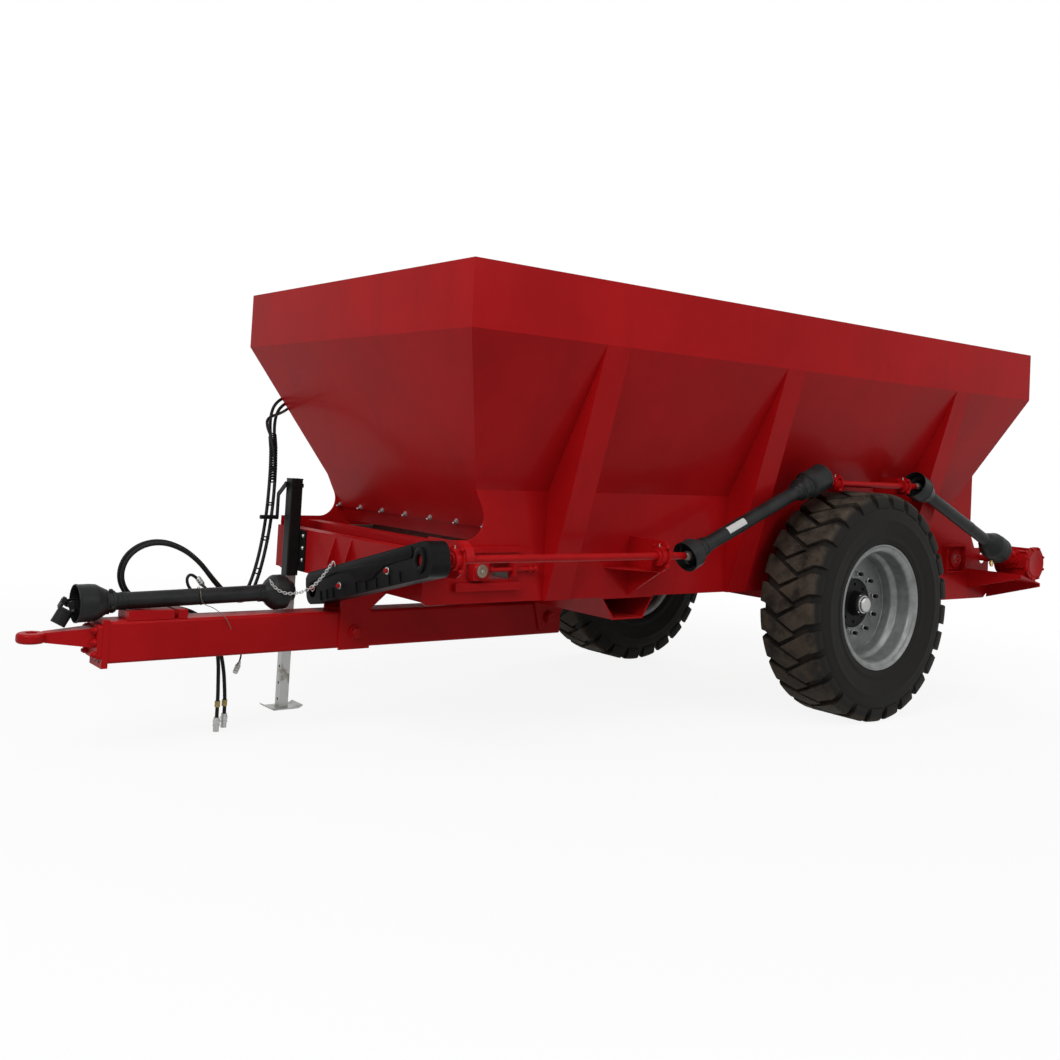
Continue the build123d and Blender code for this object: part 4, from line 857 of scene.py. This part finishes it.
gearbox_bell = (
    (60, 74), (84, 56), (84.5, 2), (85.5, 0), (87.5, 0), (88, 2), (88, 26), (86, 28), (86, 48), (88, 50),
    (88, 62), (86, 64), (85, 100), (82, 110), (72, 128), (66, 140), (58, 164), (50, 180), (46, 186),
    (40, 194),
)
tube_radius = 38


def guard_line(start, end, before=0, beyond=0):
    """The ends of a guard: the line between two joints, made longer at both ends."""
    start, end = Vector(start), Vector(end)
    way = (end - start).normalized()
    return start - before * way, end + beyond * way


def drive_guard(name, node, ends, near, far, split):
    """Bell, tube, overlapping tube and second bell; split is the share where the tubes overlap."""
    start, end = ends
    run = (end - start).length
    sleeve = run * split
    outline = [
        *near,
        (tube_radius, near[-1][1] + 3),
        (tube_radius, sleeve),
        (tube_radius + 1.5, sleeve + 1),
        (tube_radius + 1.5, sleeve + 22),
        (tube_radius - 0.5, sleeve + 24),
        (tube_radius - 0.5, run - far[-1][1] - 3),
        *((radius, run - inward) for radius, inward in reversed(far)),
    ]
    guard = smooth(turned(name, outline, 56), 32)
    dressed(placed(guard, frame_at(start, end - start, left)), "chassis", "guard", node)


gearbox_tilt = math.radians(20)
gearbox_reach = 265.3    # from the gearbox's middle to its joint
neck_way = Vector((math.cos(gearbox_tilt), 0, math.sin(gearbox_tilt)))
gear_middle = Vector((gear_x, drive_y, gear_z))
mid_joints = (turning_point("mid_cardan_spin"), (410, drive_y, upper_z))
rear_joints = (turning_point("rear_cardan_spin"), gear_middle + gearbox_reach * neck_way)
input_ends = guard_line((4105, 0, 653), (3085, 0, 675))
mid_ends = guard_line(*mid_joints, 23, 90)
rear_ends = guard_line(*rear_joints, 44, 48)

drive_guard("input_guard", "pto_guard", input_ends, input_bell, boot, 0.19)
drive_guard("mid_guard", "mid_cardan_guard", mid_ends, front_bell, stepped_bell, 0.36)
drive_guard("rear_guard", "rear_cardan_guard", rear_ends, upper_bell, gearbox_bell, 0.62)


# --- front panel, chain case and drive line --------------------------------------------------

# bolts across the front panel, where the sheet is clamped to the rubber behind it
panel_slope = 341 / 696  # forwards over upwards
panel_top_x, panel_top_z = 2885, 1914
bolts_z = 1054
bolts_x = panel_top_x - panel_slope * (panel_top_z - bolts_z)
panel_bolts = seats_at([(bolts_x, y, bolts_z) for y in range(-690, 691, 230)], (1, 0, -panel_slope), left)
rows("panel_nuts", "chassis", "bright", hex_head("panel_nuts", 17, 8, 12, 16), panel_bolts)

# chain case: raised cover, ribs, eye in front of the line shaft's hub, screws
case_face = 2975
case_tilt = math.atan2(235, 935)
case_seat = frame_at((case_face, 10, 690), ahead, (0, math.cos(case_tilt), math.sin(case_tilt)))
cover_outline = (
    (-66, 50), (-48, 67), (-30, 70), (895, 70), (905, 60), (905, 30), (890, 20), (761, 20), (669, 14),
    (600, -10), (558, -30), (437, -26), (338, 30), (241, 40), (150, 32), (60, 34), (-58, 26),
)
cover = eased(slab("case_cover", cover_outline, 7), 5, 3, 20)
dressed(smooth(placed(cover, case_seat)), "chassis", "case")
eye = turned("case_eye", ((20, 0), (20, 8), (24, 11), (36, 11), (41, 8), (42, 0)), 40)
placed(eye, Matrix.Diagonal((1, 1.35, 1, 1)))
dressed(smooth(placed(eye, frame_at((case_face, 939, line_z), ahead, left))), "chassis", "case")
rib = eased(slab("case_ribs", ((-3, -70), (3, -70), (3, -24), (-3, -24)), 6), 1.5, 1)
rib_places = (70, 130, 190, 410, 500, 590, 700, 790)
rib_seats = [case_seat @ Matrix.Translation((along * mm, 0, 0)) for along in rib_places]
rows("case_ribs", "chassis", "case", rib, rib_seats)
case_screws = seats_at([(case_face, 262, 731), (case_face, 677, 850), (case_face, 6, 686)], ahead, left)
washer = turned("case_washers", ((8, 3), (16, 3), (17, 2), (17, 0)), 24)
rows("case_washers", "chassis", "bright", washer, case_screws)
rows("case_screws", "chassis", "paint", hex_head("case_screws", 19, 14), case_screws)
hub_outline = ((0, 0), (30, 0), (32, -2), (32, -10), (18, -10), (18, -17))
line_hub = turned("line_shaft_end", hub_outline, 28)
dressed(placed(line_hub, frame_at((2969, drive_y, line_z), ahead, left)), "line_drive", "paint")

# flange bearings of the drive line, with their bolts and grease nipples
bearing_faces = ((1589, line_z), (2825, line_z), (224, upper_z), (-457, upper_z))
for number, (x, z) in enumerate(bearing_faces):
    bearing = turned("bearing_ring_%d" % number, ((19, 1), (19, 5), (27, 6), (30, 4), (32, 0)), 36)
    dressed(smooth(placed(bearing, frame_at((x, drive_y, z), ahead, left))), "chassis", "paint")
bearing_bolts = []
for x, z, corner in ((1559, line_z, 47), (2795, line_z, 47), (198, upper_z, 34), (-457, upper_z, 34)):
    plate = frame_at((x, drive_y, z), ahead, left)
    bearing_bolts += ring_of(plate, 4, corner * math.sqrt(2), first=45, square=True)
rows("bearing_bolts", "chassis", "paint", hex_head("bearing_bolts", 17, 10, 11, 5), bearing_bolts)
nipple = turned("grease_nipples", ((0, 14), (3, 14), (3.5, 11), (2.2, 8), (4, 6), (4, 0)), 12)
nipple_places = [(x, drive_y, line_z + 47) for x in (1575, 2805)]
nipple_places += [(x, drive_y, upper_z + 37) for x in (205, -450)]
rows("grease_nipples", "chassis", "bright", nipple, seats_at(nipple_places, above))

# arched shield over the front line bearing
shield = slab("bearing_shield", arc(80, 130, 5) + arc(76, 130, 5)[::-1], 42)
shield_seat = frame_at((2745, drive_y - 12, line_z), ahead, left)
dressed(smooth(placed(shield, shield_seat), 30), "chassis", "paint")


# --- tensioners, hitch and jack --------------------------------------------------------------

# floor shaft ends, collars on the sliding blocks and adjusting nuts
floor_shaft_z = 848
block_x = 2515
shaft_rings = ((0, -3), (4, -3), (5, 2), (13, 2), (14, 0.5), (16, 0.5), (17, 2.5), (27, 2.5), (30, 0))
for side, sign in both_sides:
    out = (0, sign, 0)
    for where, x, finish in (("front", block_x, "worn"), ("rear", -1390, "paint")):
        shaft_end = turned("floor_shaft_end_%s_%s" % (where, side), shaft_rings, 36)
        dressed(smooth(placed(shaft_end, frame_at((x, sign * 760, floor_shaft_z), out))), "chassis", finish)
    collar = turned("block_collar_" + side, ((31, 0), (31, 7), (36, 7), (39, 4), (40, 0)), 36)
    block_face = 750 if side == "left" else -722
    collar_seat = frame_at((block_x, block_face, floor_shaft_z), out)
    dressed(smooth(placed(collar, collar_seat)), "chassis", "paint")
    nuts = seats_at([(x, sign * 725, floor_shaft_z) for x in (2456, 2436, 2205, 2172)], ahead, left)
    rows("adjusting_nuts_" + side, "chassis", "paint", hex_head("adjusting_nuts", 30, 14), nuts)

# hitch: flange bolts, and the three holes in the end plate drawn as flat black discs of painted shade
hitch_bolts = seats_at([(4023, y, 494 + rise) for y in (-60, 60) for rise in (-52, 0, 52)], ahead, left)
rows("hitch_bolts", "chassis", "paint", hex_head("hitch_bolts", 26, 15, stud=8), hitch_bolts)
# painted shade: each hole is a flat black disc, the dark inside of the hole painted onto the plate
hole_shade = turned("plate_hole_shades", ((0, 0.4), (8, 0.4), (8.6, 0)), 20)
rows("plate_hole_shades", "chassis", "black", hole_shade, seats_at([(4001, y, 411) for y in (-46, 6, 58)], ahead, left))

# jack: round bolts in its plate, band and lid at the top
jack_x, jack_y = 2862, -478
dome_outline = ((0, 7), (5.5, 6.16), (9.35, 3.5), (11, 0))
dome = smooth(turned("jack_bolts", dome_outline, 16), 60)
jack_bolts = seats_at([(2829, -414, z) for z in (900, 837, 775)], ahead, left)
rows("jack_bolts", "chassis", "bright", dome, jack_bolts)
to_corner = math.sqrt(2)     # a square band is turned in four steps, through its corners
inner, outer = 33 * to_corner, 35.5 * to_corner
band_outline = ((inner, 0), (outer, 1.5), (outer, 20), (inner, 22))
band = placed(turned("jack_band", band_outline, 4), Matrix.Rotation(math.radians(45), 4, "Z"))
dressed(placed(band, frame_at((jack_x, jack_y, 1150), above)), "chassis", "black")
lid = eased(slab("jack_lid", ((-34, -34), (34, -34), (34, 34), (-34, 34)), 7), 3, 2)
dressed(placed(lid, frame_at((jack_x, jack_y, 1190), above)), "chassis", "black")


# --- wraps, ties, plugs and chain ------------------------------------------------------------

# spiral wrap that holds the hoses together above the jack, and ties further down
wrapped = [(Vector(supply) + Vector(back)) / 2 for supply, back in zip(*hose_routes.values())]
narrow = Matrix.Diagonal((0.78, 1.0, 1.0, 1.0))
climb = Vector((0, 30, 0))
wrap_seats = [frame_at(place, way + climb, ahead) for place, way in along_route(wrapped, 480, 760, 15)]
rows("hose_wrap", "chassis", "hose", placed(torus("hose_wrap", 24, 4.5, 24, 8), narrow), wrap_seats)
hose_tie = placed(turned("hose_ties", ((27, -4), (28.5, -4), (28.5, 4), (27, 4)), 20), narrow)
tie_seats = [frame_at(place, way, ahead) for place, way in along_route(wrapped, 880, 1300, 190)]
rows("hose_ties", "chassis", "hose", hose_tie, tie_seats)
wire("loom_loop", (
    (2898, -668, 1300), (2896, -690, 1352), (2900, -715, 1408), (2912, -748, 1462), (2900, -782, 1500),
    (2860, -815, 1522), (2800, -860, 1536), (2735, -915, 1556), (2670, -960, 1590), (2580, -1002, 1618),
), 8, "hose")

# couplings at the hoses' free ends
coupler_outline = (
    (14.2, 0), (17, 1), (17, 8), (15, 9), (15, 15), (17, 16), (17, 30), (15, 31), (14.2, 33),
)
coupler = smooth(turned("coupler_rings", coupler_outline, 24))
rows("coupler_rings", "chassis", "bright", coupler, seats_at([(3375, -120, 34), (3326, -148, 42)], above))
coupler_tie = turned("coupler_ties", ((10.5, -14), (13, -14), (13, 14), (10.5, 14)), 20)
rows("coupler_ties", "chassis", "tie", coupler_tie, seats_at([(3375, -121, 138), (3328, -148, 134)], above))

# electric plugs parked at the drawbar, with their leads
plug_outline = (
    (0, 62), (9, 62), (12, 58), (13, 48), (11, 46), (13, 44), (13, 36), (11, 34), (13, 32), (13, 22),
    (9, 16), (6, 4), (4, 0),
)
low_plug = (3316, -30, 352)
tube_plug = (3500, -62, 694)
plug_seats = [frame_at(low_plug, (0.35, -0.1, -1)), frame_at(tube_plug, (0.75, -0.1, 1))]
rows("parked_plugs", "chassis", "zinc", smooth(turned("parked_plugs", plug_outline, 20)), plug_seats)
wire("plug_lead", ((3316, -30, 396), (3309, -30, 380), (3318, -31, 352)), 4, "hose")
wire("tube_lead", (
    (3330, -70, 640), (3400, -66, 648), (3460, -60, 666), tube_plug, (3540, -66, 742), (3572, -66, 760),
    (3590, -64, 740), (3580, -60, 700), (3540, -56, 664), (3440, -60, 640),
), 7, "hose")

# twisted wire that ties the tube, with its loose tail
wire("tie_wire", (
    (3560, 38, 694), (3556, 42, 668), (3550, 38, 640), (3544, 12, 624), (3540, -28, 640), (3546, -42, 676),
    (3552, -22, 706), (3556, 16, 710), (3562, 42, 690), (3560, 44, 660), (3540, 44, 632), (3500, 50, 620),
    (3474, 70, 598), (3450, 88, 574), (3436, 92, 548), (3424, 90, 524),
), 1.6, "chain")

# safety chain from the rear boot to the case, its links turned by turns
chain_points = (
    (3228, 52, 736), (3216, 66, 712), (3196, 84, 692), (3166, 100, 680), (3134, 112, 679), (3100, 126, 687),
    (3066, 142, 704), (3040, 158, 730), (3018, 172, 762), (2998, 186, 800), (2985, 196, 826),
)
link = placed(torus("guard_chain", 6.2, 1.8, 14, 6), Matrix.Diagonal((1.55, 1.0, 1.0, 1.0)))
link_seats = []
for number, (place, way) in enumerate(along_route(chain_points, 4, 420, 13)):
    flat = Vector(above if number % 2 else (0, 1, 0.3))
    link_seats.append(frame_at(place, way.cross(flat), way))
rows("guard_chain", "chassis", "bright", link, link_seats)
wire("chain_hook", (
    (2988, 196, 822), (2990, 202, 836), (2982, 210, 840), (2976, 214, 824), (2972, 212, 806),
), 2.4, "bright")

# lugs of the input guard's collar
input_start, input_end = input_ends
input_way = (input_end - input_start).normalized()
lug = eased(slab("collar_lugs", ((50, -8), (60, -6), (60, 6), (50, 8)), 16), 2, 1)
collar_middle = frame_at(input_start + 138 * input_way, input_way, left)
rows("collar_lugs", "chassis", "guard", lug, ring_of(collar_middle, 4, 0, first=20))

# blank label, wrapped part of the way round the mid guard's tube
mid_start, mid_end = (Vector(joint) for joint in mid_joints)
tube_way = (mid_end - mid_start).normalized()
label_radius = 40.1
label = chain_of("tube_label", ((label_radius, 0, 0), (label_radius, 0, 140)))
bpy.ops.mesh.spin(steps=8, angle=math.radians(56), center=(0, 0, 0), axis=(0, 0, 1))
bpy.ops.object.mode_set(mode="OBJECT")
label_foot = frame_at(mid_start + 285 * tube_way, tube_way, left)
placed(label, label_foot @ Matrix.Rotation(math.radians(-8), 4, "Z"))
dressed(smooth(label), "chassis", "label")


# --- gearboxes, pins and peg holes -----------------------------------------------------------

# bevel gearbox: lobed and bolted cover, fins on the housing
cover_seat = frame_at((gear_x, 1084, gear_z), left, ahead)
lobe = smooth(turned("cover_lobes", ((0, 16), (11, 16), (12.5, 14.5), (12.5, 0), (0, 0)), 24))
rows("cover_lobes", "chassis", "paint", lobe, ring_of(cover_seat, 8, 101, -16, -22, square=True))
cover_bolts = ring_of(cover_seat, 8, 101, 0, -22, square=True)
rows("cover_bolts", "chassis", "paint", hex_head("cover_bolts", 15, 7, 10), cover_bolts)
dish = turned("cover_dish", ((0, 3), (70, 3), (78, 6), (84, 6), (88, 0)), 48)
dressed(smooth(placed(dish, cover_seat)), "chassis", "paint")
fin = eased(slab("housing_fins", ((80, -5), (98, -5), (98, 5), (80, 5)), 176), 3, 2)
housing_foot = frame_at((gear_x, 874, gear_z), left, ahead)
fin_angles = (18, -52, -84, -116, -148, -180)
fins = [housing_foot @ Matrix.Rotation(math.radians(angle), 4, "Z") for angle in fin_angles]
rows("housing_fins", "chassis", "paint", fin, fins)

# its neck: casting with webs and two rings of screws, and the brass plugs
neck_seat = frame_at(gear_middle, neck_way, left)
neck_screws = ring_of(neck_seat, 6, 67, 88, 30, square=True)
rows("neck_screws", "chassis", "paint", hex_head("neck_screws", 15, 9), neck_screws)
gear_plug_outline = ((0, 40), (7, 40), (10, 37), (10, 26), (14, 25), (14, 12), (10, 11), (10, 0))
gear_plug = smooth(turned("gear_plugs", gear_plug_outline, 24))
gear_plugs = [frame_at((-1642, drive_y, 946), (-0.2, 0, 1)), frame_at((-1484, 938, 858), (0.15, 0.1, -1))]
rows("gear_plugs", "chassis", "brass", gear_plug, gear_plugs)
neck_outline = (
    (21, 206), (44, 206), (47, 203), (48, 172), (59, 168), (61, 166), (61, 156), (59, 154), (51, 148),
    (54, 122), (61.5, 104),
)
dressed(smooth(placed(turned("gear_neck", neck_outline, 48), neck_seat), 35), "chassis", "paint")
web = eased(slab("neck_webs", ((48, -4), (60, -4), (60, 4), (48, 4)), 68), 3, 1)
rows("neck_webs", "chassis", "paint", web, ring_of(neck_seat, 8, 0, 88))
collar_screws = ring_of(neck_seat, 8, 54, 168, 22)
rows("collar_screws", "chassis", "paint", hex_head("collar_screws", 11, 8), collar_screws)

# pins of the drawbar's brackets
bracket_places = ((2776, 478), (1550, 499))
pin_seats = [frame_at((x, sign * 101.5, z), (0, sign, 0)) for x, z in bracket_places for sign in (1, -1)]
rows("bracket_pins", "chassis", "paint", hex_head("bracket_pins", 46, 12, 30), pin_seats)

# peg holes down the parking leg, drawn as flat black discs of painted shade
# painted shade: flat black discs stand for the dark inside of the peg holes
peg_hole_shade = turned("leg_hole_shades", ((0, 0.4), (7, 0.4), (7.6, 0)), 20)
leg_hole_shades = seats_at([(2887, jack_y, z) for z in (46, 130, 215)], ahead, left)
rows("leg_hole_shades", "parking_leg", "black", peg_hole_shade, leg_hole_shades)

# covers on the back of the disc gearboxes
box_seats = seats_at([(-1832, y, gear_z) for y in (disc_y, -disc_y)], (-1, 0, 0), left)
box_cover = smooth(turned("disc_box_covers", ((0, 6), (48, 6), (50, 8), (54, 8), (56, 6), (56, 0)), 40))
rows("disc_box_covers", "chassis", "paint", box_cover, box_seats)
box_bolts = [bolt for seat in box_seats for bolt in ring_of(seat, 6, 41, 6, 30)]
rows("disc_box_bolts", "chassis", "bright", hex_head("disc_box_bolts", 13, 7, 9), box_bolts)
